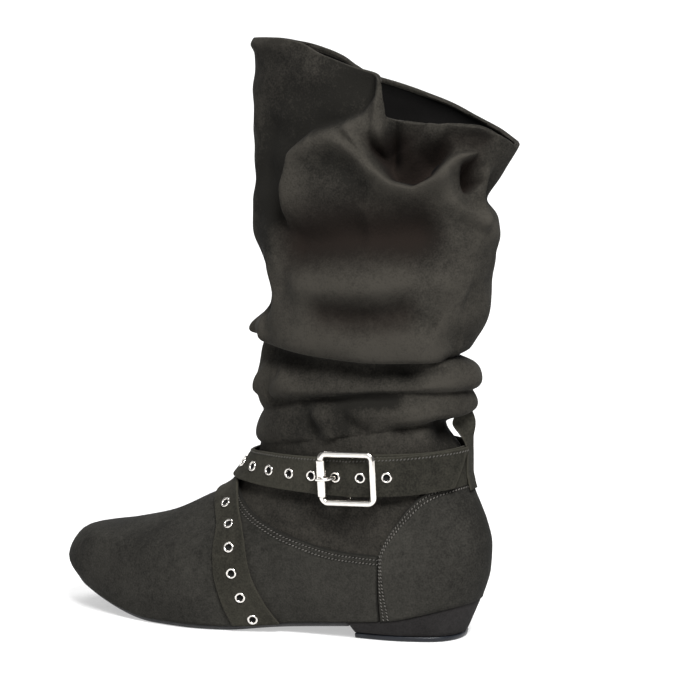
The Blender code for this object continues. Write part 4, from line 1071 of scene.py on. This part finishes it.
def punch(strap, frames):
    """Cuts a round hole through the strap at each frame."""
    sides = ((HOLE_RADIUS, -HOLE_DEPTH), (HOLE_RADIUS, HOLE_CLEARANCE))
    plug = turned(sides, HOLE_SIDES).reshape(-1, 3)
    ring = np.arange(len(plug)).reshape(HOLE_SIDES, 2)
    points = set_in(plug, frames)
    faces = []
    for part in (grid_faces(HOLE_SIDES, 2, True, False)[:, ::-1], ring[::-1, 0][None], ring[:, 1][None]):
        faces += copies(part, len(frames), len(plug)).tolist()
    mesh = bpy.data.meshes.new("punch")
    mesh.from_pydata(points * MM, [], faces)
    tool = bpy.data.objects.new("punch", mesh)
    bpy.context.scene.collection.objects.link(tool)
    cut = strap.modifiers.new("holes", "BOOLEAN")
    cut.operation = "DIFFERENCE"
    cut.solver = "EXACT"
    cut.object = tool
    punched = bpy.data.meshes.new_from_object(strap.evaluated_get(bpy.context.evaluated_depsgraph_get()))
    strap.modifiers.clear()
    strap.data = punched
    bpy.data.objects.remove(tool)


def cut_edges(across, width, shape):
    """How far each point of a strap belongs to its raw edges, from 0 on its face to 1 at the edge itself."""
    return np.broadcast_to(1 - rounded_edge(width / 2 - np.abs(across)), shape)


strap_suede = suede_material("strap_suede", (0.0078, 0.0074, 0.0056), (0.0270, 0.0254, 0.0196), 0.4)
vamp_across, vamp_thick = strap_section(VAMP_STRAP_NOMINAL, STRAP, 15)
vamp_share = vamp_across / (VAMP_STRAP_NOMINAL / 2)
vamp_strap_at = vamp_strap_place(vamp_share)
from_sole = np.sin(np.linspace(0, np.pi, len(vamp_strap_at[0])))[:, None]
spring = BACK_SPRING * np.sqrt(np.abs(from_sole)) * np.clip(vamp_share, 0, 1) ** 2
vamp_strap_rise = VAMP_STRAP_GAP + vamp_thick + spring
vamp_strap_grid = base_surface(*vamp_strap_at) + vamp_strap_rise[..., None] * base_normal(*vamp_strap_at)
vamp_cut = cut_edges(vamp_across, VAMP_STRAP_NOMINAL, vamp_strap_grid.shape[:2])
vamp_strap_mesh = bar(vamp_strap_grid)
vamp_strap = make_piece(
    "instep_strap", *vamp_strap_mesh, (strap_suede,), ("vamp_strap",), "strap_suede", cut=vamp_cut
)

middle_place = vamp_strap_place(np.array([0.0]))
middle_out = base_normal(*middle_place)[:, 0]
middle_line = base_surface(*middle_place)[:, 0] + (VAMP_STRAP_GAP + STRAP) * middle_out
middle_arc = arc_length(middle_line, 0)
from_end = LOWEST_VAMP_EYELET + EYELET_PITCH * np.arange(VAMP_EYELETS)
eyelet_arc = np.concatenate([from_end, middle_arc[-1] - from_end])
middle_grids = (middle_line, np.gradient(middle_line, axis=0), middle_out)
vamp_eyelet_frames = frame_at(*(along_path(eyelet_arc, middle_arc, grid) for grid in middle_grids))
punch(vamp_strap, vamp_eyelet_frames)

# Ankle strap: one long suede strap from the buckle's bar round the heel, the inner side and the instep,
# through the buckle and over itself to a slanted free end. A row of stitches runs along its upper edge.
ANKLE_STRAP_WIDTH = 22.6
BUCKLE_TURN = 79.0
BUCKLE_WAY = 360.0  # once round, where the strap comes back to the buckle
STRAP_WAY = (
    # degrees from the buckle, height of the strap's middle, gap to the upper
    (0.0, 94.0, GAP),
    (37.0, 95.0, 0.6),
    (77.0, 96.6, 0.6),
    (167.0, 96.0, 0.5),
    (215.0, 90.5, 0.8),
    (236.0, 89.5, 4.3),
    (256.0, 88.5, 4.3),
    (282.0, 89.0, 4.3),
    (302.0, 90.5, 3.4),
    (330.0, 91.5, 2.4),
    (360.0, 92.5, 2.4),
    (385.0, 93.8, 2.4),
    (410.0, 95.6, 3.2),
    (435.0, 97.0, 6.2),
)
STRAP_START = 2.0
TIP = 424.0
TIP_SLANT = 5.5
TIP_BEND = 14.0  # degrees before the tip over which the slant comes in
TIP_CUT = 1.0
BAR_HUMP = 1.3  # rise of the strap over the buckle's bar
BAR_HUMP_REACH = 2.6
BUCKLE_REACH = 16.0  # either way of the buckle, where it holds the strap flat
SLANT_ROUNDS = 4  # rounds that settle where an edge lies along the strap
BUCKLE_PALE_PATCH = (0.6, 334.0, 16.0)  # paler patch in front of the buckle: tone, place, reach
TIP_DARKENING = (0.35, 372.0, 16.0)  # and darker towards the free end: tone, where it starts, over how far
ARC_LEVELS = np.linspace(4.0, 8.0, 161)
EDGE_STITCH = 1.7  # from the upper edge
FRONT_LEAN = (3.2, 258.0, 32.0)  # how far the upper edge leans onto the shaft in front, place, reach


def bell(depth, middle, reach, at):
    """Bell curve of a given depth about its middle."""
    return depth * np.exp(-(((at - middle) / reach) ** 2))


def interp_rows(wanted, x, y):
    """Straight interpolation of y against rising x along the last axis, with one wanted place in each row."""
    after = np.clip(np.sum(x < wanted[..., None], axis=-1), 1, x.shape[-1] - 1)[..., None]
    x0, x1 = np.take_along_axis(x, after - 1, -1)[..., 0], np.take_along_axis(x, after, -1)[..., 0]
    y0, y1 = np.take_along_axis(y, after - 1, -1)[..., 0], np.take_along_axis(y, after, -1)[..., 0]
    return y0 + (y1 - y0) * (wanted - x0) / (x1 - x0)


def strap_place(way, across):
    """Turn and level of a point of the ankle strap, across millimetres above its middle line."""
    way, across = np.broadcast_arrays(np.asarray(way, float), np.asarray(across, float))
    turn = np.radians(BUCKLE_TURN - way)
    points = base_surface(turn[..., None], ARC_LEVELS)
    arc = arc_length(points, -2)
    middle = interp_rows(curve_through(STRAP_WAY, 1, way), points[..., 2], arc)
    return turn, interp_rows(middle + across, arc, np.broadcast_to(ARC_LEVELS, arc.shape))


def strap_rows(way, slant=0.0):
    """Lower edge, middle and upper edge of the strap's inner face at each way, and the way out of each. The
    strap spans a hollow flat, the buckle holds it flat, and it rises over the buckle's bar. A slant carries
    the edges forwards and back along it."""
    way = np.asarray(way, float)
    gap = curve_through(STRAP_WAY, 2, way) + bell(BAR_HUMP, BUCKLE_WAY, BAR_HUMP_REACH, way)
    middle = base_surface(*strap_place(way, 0.0))
    along = base_surface(*strap_place(way + 0.5, 0.0)) - base_surface(*strap_place(way - 0.5, 0.0))
    per_degree = np.linalg.norm(along, axis=-1)
    along /= per_degree[..., None]
    rows, outs = [], []
    for side in (-1, 0, 1):
        row_way = way.copy()
        across = side * ANKLE_STRAP_WIDTH / 2
        for _ in range(SLANT_ROUNDS * abs(side)):
            ahead = np.sum((base_surface(*strap_place(row_way, across)) - middle) * along, -1)
            row_way += (side * slant - ahead) / per_degree
        place = strap_place(row_way, across)
        outs.append(base_normal(*place))
        lean = bell(*FRONT_LEAN, way) * (side == 1)
        rows.append(base_surface(*place) + outs[-1] * (gap - lean)[..., None])
    rows, outs = np.stack(rows, -2), np.stack(outs, -2)
    hollow = np.sum(((rows[..., 0, :] + rows[..., 2, :]) / 2 - rows[..., 1, :]) * outs[..., 1, :], -1)
    rows[..., 1, :] += np.maximum(hollow, 0)[..., None] * outs[..., 1, :]
    held_flat = bell(1, BUCKLE_WAY, BUCKLE_REACH, way) * np.maximum(-hollow, 0)
    rows[..., ::2, :] += held_flat[..., None, None] * outs[..., ::2, :]
    return rows, outs


def strap_frames(way):
    """Frames at the middle of the strap's outer face: to the front along the strap, across it, and out."""
    faces = [rows + STRAP * outs for rows, outs in (strap_rows(way + step) for step in (-1.5, 0.0, 1.5))]
    before, here, after = faces
    ahead = before[:, 1] - after[:, 1]
    return frame_at(here[:, 1], ahead, np.cross(here[:, 2] - here[:, 0], ahead))


def across_strap(grid, share):
    """Values across the strap at shares from -1 to 1, from those at its lower edge, middle and upper edge."""
    return through_three(*(grid[:, None, k] for k in range(3)), share)


near_buckle = BUCKLE_WAY + np.linspace(-8, 8, 41)
ways = np.unique(np.concatenate([np.arange(STRAP_START, TIP, 1.2), near_buckle, [TIP]]))
to_tip = np.clip((ways - TIP + TIP_BEND) / TIP_BEND, 0, 1)
strap_edges, strap_outs = strap_rows(ways, TIP_SLANT * to_tip**2)
ankle_across, ankle_thick = strap_section(ANKLE_STRAP_WIDTH, STRAP, 13)
ankle_share = (ankle_across / (ANKLE_STRAP_WIDTH / 2))[:, None]
inner_face, way_out = (across_strap(grid, ankle_share) for grid in (strap_edges, strap_outs))
ankle_strap_grid = inner_face + ankle_thick[:, None] * way_out
ankle_cut = cut_edges(ankle_across, ANKLE_STRAP_WIDTH, ankle_strap_grid.shape[:2])
ankle_cut = np.maximum(ankle_cut, bell(1, TIP, TIP_CUT, ways)[:, None])
tip_tone, tip_from, tip_over = TIP_DARKENING
strap_tone = bell(*BUCKLE_PALE_PATCH, ways) - tip_tone * np.clip((ways - tip_from) / tip_over, 0, 1)
strap_looks = {"cut": ankle_cut, "fold": np.broadcast_to(strap_tone[:, None], ankle_cut.shape)}
ankle_strap_mesh = bar(ankle_strap_grid)
ankle_strap = make_piece(
    "wrap_strap", *ankle_strap_mesh, (strap_suede,), ("ankle_strap",), "strap_suede", **strap_looks
)

PRONG_EYELET = 7.8  # from the buckle's bar to the eyelet that takes the prong
EYELETS_BEFORE_PRONG = 15
EYELETS_AFTER_PRONG = 2
fine_ways = np.linspace(90, 420, 661)
fine_rows, fine_outs = strap_rows(fine_ways)
fine_arc = arc_length(fine_rows[:, 1] + STRAP * fine_outs[:, 1], 0)
eyelets_ahead = PRONG_EYELET + EYELET_PITCH * np.arange(-EYELETS_AFTER_PRONG, EYELETS_BEFORE_PRONG + 1)
eyelet_ways = np.interp(np.interp(BUCKLE_WAY, fine_ways, fine_arc) - eyelets_ahead, fine_arc, fine_ways)
ankle_eyelet_frames = strap_frames(eyelet_ways)
punch(ankle_strap, ankle_eyelet_frames)
upper_edge = np.array([[1 - 2 * EDGE_STITCH / ANKLE_STRAP_WIDTH]])
edge_face, edge_out = (across_strap(grid, upper_edge)[:, 0] for grid in (strap_edges, strap_outs))
strap_thread = plain_material("strap_thread", (0.026, 0.024, 0.021), (0.048, 0.045, 0.039), 0.8, 900)
edge_seam = stitches([(edge_face + STRAP * edge_out, edge_out)])
make_piece("strap_stitching", *edge_seam, (strap_thread,), (), "strap_suede")

# Keeper: a narrow belt loop of the same suede at the centre back, sewn to the shaft above and below the
# strap. Its upper half comes from under the roll above it, with its face turned to the outer side.
KEEPER_WIDTH = 10.0
KEEPER_THICK = 1.2
KEEPER_PATH = (
    # height, distance of the inner face from the upper without folds
    (82.5, 2.0),
    (85.8, 2.5),
    (88.0, 2.9),
    (102.0, 2.85),
    (108.0, 2.5),
    (114.0, 0.9),
    (120.0, -0.8),
    (126.0, -1.0),
    (131.0, -1.0),
)
KEEPER_TWIST = (0.95, 120.0, 7.0)  # slope of the face to the outer side, height at which it is most, reach
keeper_heights = np.linspace(KEEPER_PATH[0][0], KEEPER_PATH[-1][0], 60)
back_heights = base_surface(0.0, PANEL_LEVELS)[:, 2]
keeper_levels = np.interp(keeper_heights, back_heights, PANEL_LEVELS)
keeper_across, keeper_thick = strap_section(KEEPER_WIDTH, KEEPER_THICK, 7)
keeper_rise = curve_through(KEEPER_PATH, 1, keeper_heights)[:, None] + keeper_thick
back_turn = np.zeros_like(keeper_levels)
keeper_out = base_normal(back_turn, keeper_levels)[:, None]
keeper_grid = base_surface(back_turn, keeper_levels)[:, None] + keeper_rise[..., None] * keeper_out
keeper_grid[..., 0] += keeper_across
keeper_grid[..., 1] -= keeper_across * bell(*KEEPER_TWIST, keeper_heights)[:, None]
keeper_cut = cut_edges(keeper_across, KEEPER_WIDTH, keeper_grid.shape[:2])
keeper_mesh = bar(keeper_grid)
make_piece("belt_loop", *keeper_mesh, (strap_suede,), ("strap_keeper",), "strap_suede", cut=keeper_cut)

# Eyelets: nickel-plated brass, pressed through the holes of both straps with a rolled rim on the face.
# A black cup inside each barrel is painted shade, standing in for the shadow down the hole.
EYELET_PROFILE = (
    # radius, height above the strap's face
    (1.80, -1.35),
    (1.76, -0.4),
    (1.76, 0.2),
    (1.84, 0.5),
    (2.05, 0.76),
    (2.38, 0.88),
    (2.72, 0.8),
    (2.96, 0.55),
    (3.06, 0.25),
    (3.06, 0.02),
    (2.6, -0.04),
    (2.05, -0.1),
    (2.0, -1.35),
)
HOLE_PROFILE = (
    # radius, height: a black cup of painted shade lining the barrel, closed under the hole
    (0.02, -1.3),
    (1.78, -1.3),
    (1.78, 0.36),
    (1.70, 0.36),
    (1.70, -1.1),
    (0.02, -1.1),
)
EYELET_SIDES = 28


def nickel_material():
    """Plated metal: bright and nearly smooth, with faint wear in its gloss."""
    material, tree, shader = new_material("nickel")
    wear = noise(tree, 420, 4)
    tint = ramp(tree, wear, ((0.3, (0.70, 0.67, 0.63)), (0.7, (0.80, 0.77, 0.73))))
    tree.links.new(tint, shader.inputs["Base Color"])
    tree.links.new(blend(tree, 0.10, 0.24, wear), shader.inputs["Roughness"])
    shader.inputs["Metallic"].default_value = 1.0
    return material


nickel = nickel_material()
# painted shade: black for the inside of each eyelet's barrel
hole_shade = plain_material("hole_shade", (0.0010, 0.0010, 0.0010), (0.0018, 0.0017, 0.0016), 0.95, 500)
eyelet_parts = []
for profile in (EYELET_PROFILE, HOLE_PROFILE):
    rings = turned(profile, EYELET_SIDES).reshape(-1, 3)
    eyelet_parts.append((rings, face_out(rings, grid_faces(EYELET_SIDES, len(profile), True, True))))
(metal, metal_faces), (shade, shade_faces) = eyelet_parts
eyelet = np.concatenate([metal, shade])
eyelet_faces = np.concatenate([metal_faces, shade_faces + len(metal)])
is_shade = np.arange(len(eyelet_faces)) >= len(metal_faces)
for name, frames in (("vamp_eyelet", vamp_eyelet_frames), ("ankle_eyelet", ankle_eyelet_frames)):
    nodes = tuple(f"{name}_{number + 1:02d}" for number in range(len(frames)))
    faces = copies(eyelet_faces, len(frames), len(eyelet))
    shaded = np.tile(is_shade, len(frames))
    points = set_in(eyelet, frames)
    make_piece(f"{name}s", points, faces, (nickel, hole_shade), nodes, "nickel", material_index=shaded)

# Buckle: a square roller buckle of nickel-plated rod. A hidden centre bar holds the strap's fixed end, the
# free end passes under the frame's ends, and the prong comes up through an eyelet and lies on the roller.
BUCKLE_LENGTH = 33.0
BUCKLE_HEIGHT = 30.8
BUCKLE_BAR = 3.7
CENTRE_BAR = 2.6
CORNER = 3.2
FRAME_HEIGHT = 6.6
CENTRE_BAR_CLEARANCE = 0.3
CENTRE_BAR_HEIGHT = GAP + CENTRE_BAR_CLEARANCE + CENTRE_BAR / 2
ROLLER_RADIUS = 2.6
ROLLER_LENGTH = 20.4
ROLLER_PLAY = 0.3
ROLLER_BEVEL = 0.3
ROLLER_SIDES = 32
CRANK = 0.6  # how far the centre bar's ends stand inside the frame
CRANK_BEND = 1.0
PRONG = 1.2  # radius at its root
PRONG_TAPER = 0.2
PRONG_TIP = 0.6  # share of the radius left at the tip
PRONG_PATH = (
    # number, ahead of the buckle's middle, out from the upper
    (0, 2.5, 1.75),
    (1, 5.4, 1.6),
    (2, 7.4, 2.4),
    (3, 8.0, 4.8),
    (4, 9.6, 7.9),
    (5, 12.2, 10.0),
    (6, 14.7, 10.4),
    (7, 17.0, 10.0),
)
ROD_SIDES = 20


def rod(path, radius, closed):
    """Rings of a round bar along a flat path, each square to the path and to the path's plane."""
    if closed:
        along = np.roll(path, -1, 0) - np.roll(path, 1, 0)
    else:
        along = np.gradient(path, axis=0)
    along /= np.linalg.norm(along, axis=1, keepdims=True)
    side = np.eye(3)[np.argmin(np.ptp(path, axis=0))]
    across = np.cross(along, side)
    angle = np.radians(np.arange(ROD_SIDES) * 360 / ROD_SIDES)[:, None]
    radius = np.broadcast_to(radius, len(path))[:, None, None]
    return path[:, None] + radius * (np.cos(angle) * across[:, None] + np.sin(angle) * side)


at_buckle = np.array([BUCKLE_WAY])
buckle_frame = strap_frames(at_buckle)
buckle_frame[:, 3] = base_surface(*strap_place(at_buckle, 0.0))
half_length = (BUCKLE_LENGTH - BUCKLE_BAR) / 2
half_height = (BUCKLE_HEIGHT - BUCKLE_BAR) / 2
corner_angle = np.radians(np.linspace(0, 90, 9))
loop = []
for number, (ahead, up) in enumerate(((1, 1), (-1, 1), (-1, -1), (1, -1))):
    angle = corner_angle + number * np.pi / 2
    loop.append(np.stack([
        ahead * (half_length - CORNER) + CORNER * np.cos(angle),
        up * (half_height - CORNER) + CORNER * np.sin(angle),
        np.full_like(angle, FRAME_HEIGHT),
    ], -1))
loop = np.concatenate(loop)
frame_rings = rod(loop, BUCKLE_BAR / 2, True)
post = half_height - CRANK
crank = [
    (0, -post, FRAME_HEIGHT),
    (0, -post, CENTRE_BAR_HEIGHT + CRANK_BEND),
    (0, CRANK_BEND - post, CENTRE_BAR_HEIGHT),
]
crank += [(0, -up, out) for _, up, out in crank[::-1]]
bar_rings = rod(np.array(crank, float), CENTRE_BAR / 2, False)
loop_points = frame_rings.reshape(-1, 3)
loop_faces = face_out(loop_points, grid_faces(len(loop), ROD_SIDES, True, True))
centre_points, centre_faces = bar(bar_rings)
frame_points = set_in(np.concatenate([loop_points, centre_points]), buckle_frame)
frame_faces = np.concatenate([loop_faces, centre_faces + len(loop_points)])
make_piece("roller_buckle", frame_points, frame_faces, (nickel,), ("buckle_frame",), "nickel")

roller_end = ROLLER_LENGTH / 2
roller_profile = [
    (BUCKLE_BAR / 2 + ROLLER_PLAY, -roller_end),
    (ROLLER_RADIUS - ROLLER_BEVEL, -roller_end),
    (ROLLER_RADIUS, ROLLER_BEVEL - roller_end),
]
roller_profile += [(ROLLER_RADIUS, 0.0)] + [(radius, -height) for radius, height in roller_profile[::-1]]
roller_rings = turned(roller_profile, ROLLER_SIDES)[..., [0, 2, 1]] + [half_length, 0, FRAME_HEIGHT]
roller_points = roller_rings.reshape(-1, 3)
roller_faces = face_out(roller_points, grid_faces(ROLLER_SIDES, len(roller_profile), True, True))
roller_points = set_in(roller_points, buckle_frame)
roller_piece = make_piece("roller", roller_points, roller_faces, (nickel,), ("buckle_roller",), "nickel")
roller_piece.data.set_sharp_from_angle(angle=np.radians(30))

prong_way = np.linspace(0, PRONG_PATH[-1][0], 43)
prong_ahead, prong_out = (curve_through(PRONG_PATH, column, prong_way) for column in (1, 2))
prong_path = np.stack([prong_ahead, 0 * prong_way, prong_out], -1)
prong_radius = PRONG * (1 - PRONG_TAPER * prong_way / prong_way[-1])
prong_radius[-1] *= PRONG_TIP
prong_points, prong_faces = bar(rod(prong_path, prong_radius, False))
prong_points = set_in(prong_points, buckle_frame)
make_piece("prong", prong_points, prong_faces, (nickel,), ("buckle_prong",), "nickel")

# Studio: a pale sweep of paper under and behind the boot, and the camera at the photograph's angle. A soft
# key hangs above the outer side of the heel, a large fill stands low beside it, and a third lights the paper.
PAPER = (0.52, 0.52, 0.52)
PAPER_MOTTLE = 1.02  # the paper's lightest places against its darkest
PAPER_GLOW = 0.45
ROOM_LIGHT = 0.12
paper_light = tuple(PAPER_MOTTLE * part for part in PAPER)
paper, paper_tree, paper_shader = new_material("paper")
paper_tint = ramp(paper_tree, noise(paper_tree, 3, 2), ((0.3, PAPER), (0.7, paper_light)))
paper_tree.links.new(paper_tint, paper_shader.inputs["Base Color"])
paper_shader.inputs["Roughness"].default_value = 0.9
paper_shader.inputs["Emission Color"].default_value = (1, 1, 1, 1)
paper_shader.inputs["Emission Strength"].default_value = PAPER_GLOW
SWEEP = (
    # distance behind the boot, height
    (-0.45, 0.0),
    (1.6, 0.0),
    (2.1, 0.05),
    (2.5, 0.25),
    (2.75, 0.6),
    (2.85, 1.2),
    (2.9, 3.5),
)
sweep_across = np.linspace(-5, 5, 9)
sweep_path = np.array(SWEEP)
CAMERA_TURN = np.radians(22)  # from the outer side towards the heel
back_way = -np.array([np.cos(CAMERA_TURN), np.sin(CAMERA_TURN), 0])
side_way = np.array([-np.sin(CAMERA_TURN), np.cos(CAMERA_TURN), 0])
sweep = sweep_path[:, None, :1] * back_way + sweep_across[:, None] * side_way
sweep[..., 2] = sweep_path[:, None, 1]
sweep_mesh = bpy.data.meshes.new("paper_sweep")
sweep_mesh.from_pydata(sweep.reshape(-1, 3), [], grid_faces(len(SWEEP), len(sweep_across)))
sweep_mesh.shade_smooth()
sweep_mesh.materials.append(paper)
paper_sweep = bpy.data.objects.new("paper_sweep", sweep_mesh)
bpy.context.scene.collection.objects.link(paper_sweep)

world = bpy.data.worlds.new("studio")
bpy.context.scene.world = world
world.use_nodes = True
background = world.node_tree.nodes["Background"]
background.inputs["Color"].default_value = (1, 1, 1, 1)
in_view = add_node(world.node_tree, "ShaderNodeLightPath").outputs["Is Camera Ray"]
brightness = add_node(world.node_tree, "ShaderNodeMapRange", Value=in_view, To_Min=ROOM_LIGHT, To_Max=1.0)
world.node_tree.links.new(brightness.outputs["Result"], background.inputs["Strength"])
bpy.context.scene.view_settings.view_transform = "Standard"

SOFTBOXES = (
    # name, place, aim, side in metres, watts
    ("key", (0.68, 0.45, 1.0), (0, -0.03, 0.18), 0.5, 31),
    ("fill", (1.4, -0.15, 0.3), (0, -0.03, 0.12), 2.2, 13),
    ("backdrop", (-0.9, -0.3, 2.2), (-2.6, -1.0, 0.3), 2.0, 75),
)


def looking(place, backwards):
    """Matrix of a light or camera at a place, its back the way given and its sides level."""
    backwards = backwards / np.linalg.norm(backwards)
    right = np.cross((0, 0, 1), backwards)
    right = right / np.linalg.norm(right)
    matrix = np.eye(4)
    matrix[:3] = np.stack([right, np.cross(backwards, right), backwards, place], 1)
    return matrix.T.tolist()


for name, place, aim, size, power in SOFTBOXES:
    light = bpy.data.lights.new(name, "AREA")
    light.size = size
    light.energy = power
    softbox = bpy.data.objects.new(name, light)
    bpy.context.scene.collection.objects.link(softbox)
    softbox.matrix_world = looking(place, np.array(place) - np.array(aim))

CAMERA_AIM = np.array([0, -40.5, 156.5]) * MM
CAMERA_RISE = np.radians(8)
CAMERA_DISTANCE = 1.5
FOCAL_PIXELS = 2704.5
IMAGE_PIXELS = 700
SENSOR = 36
camera = bpy.data.cameras.new("camera")
camera.sensor_width = SENSOR
camera.lens = SENSOR * FOCAL_PIXELS / IMAGE_PIXELS
camera_object = bpy.data.objects.new("camera", camera)
bpy.context.scene.collection.objects.link(camera_object)
to_camera = -np.cos(CAMERA_RISE) * back_way
to_camera[2] = np.sin(CAMERA_RISE)
camera_object.matrix_world = looking(CAMERA_AIM + CAMERA_DISTANCE * to_camera, to_camera)
bpy.context.scene.camera = camera_object
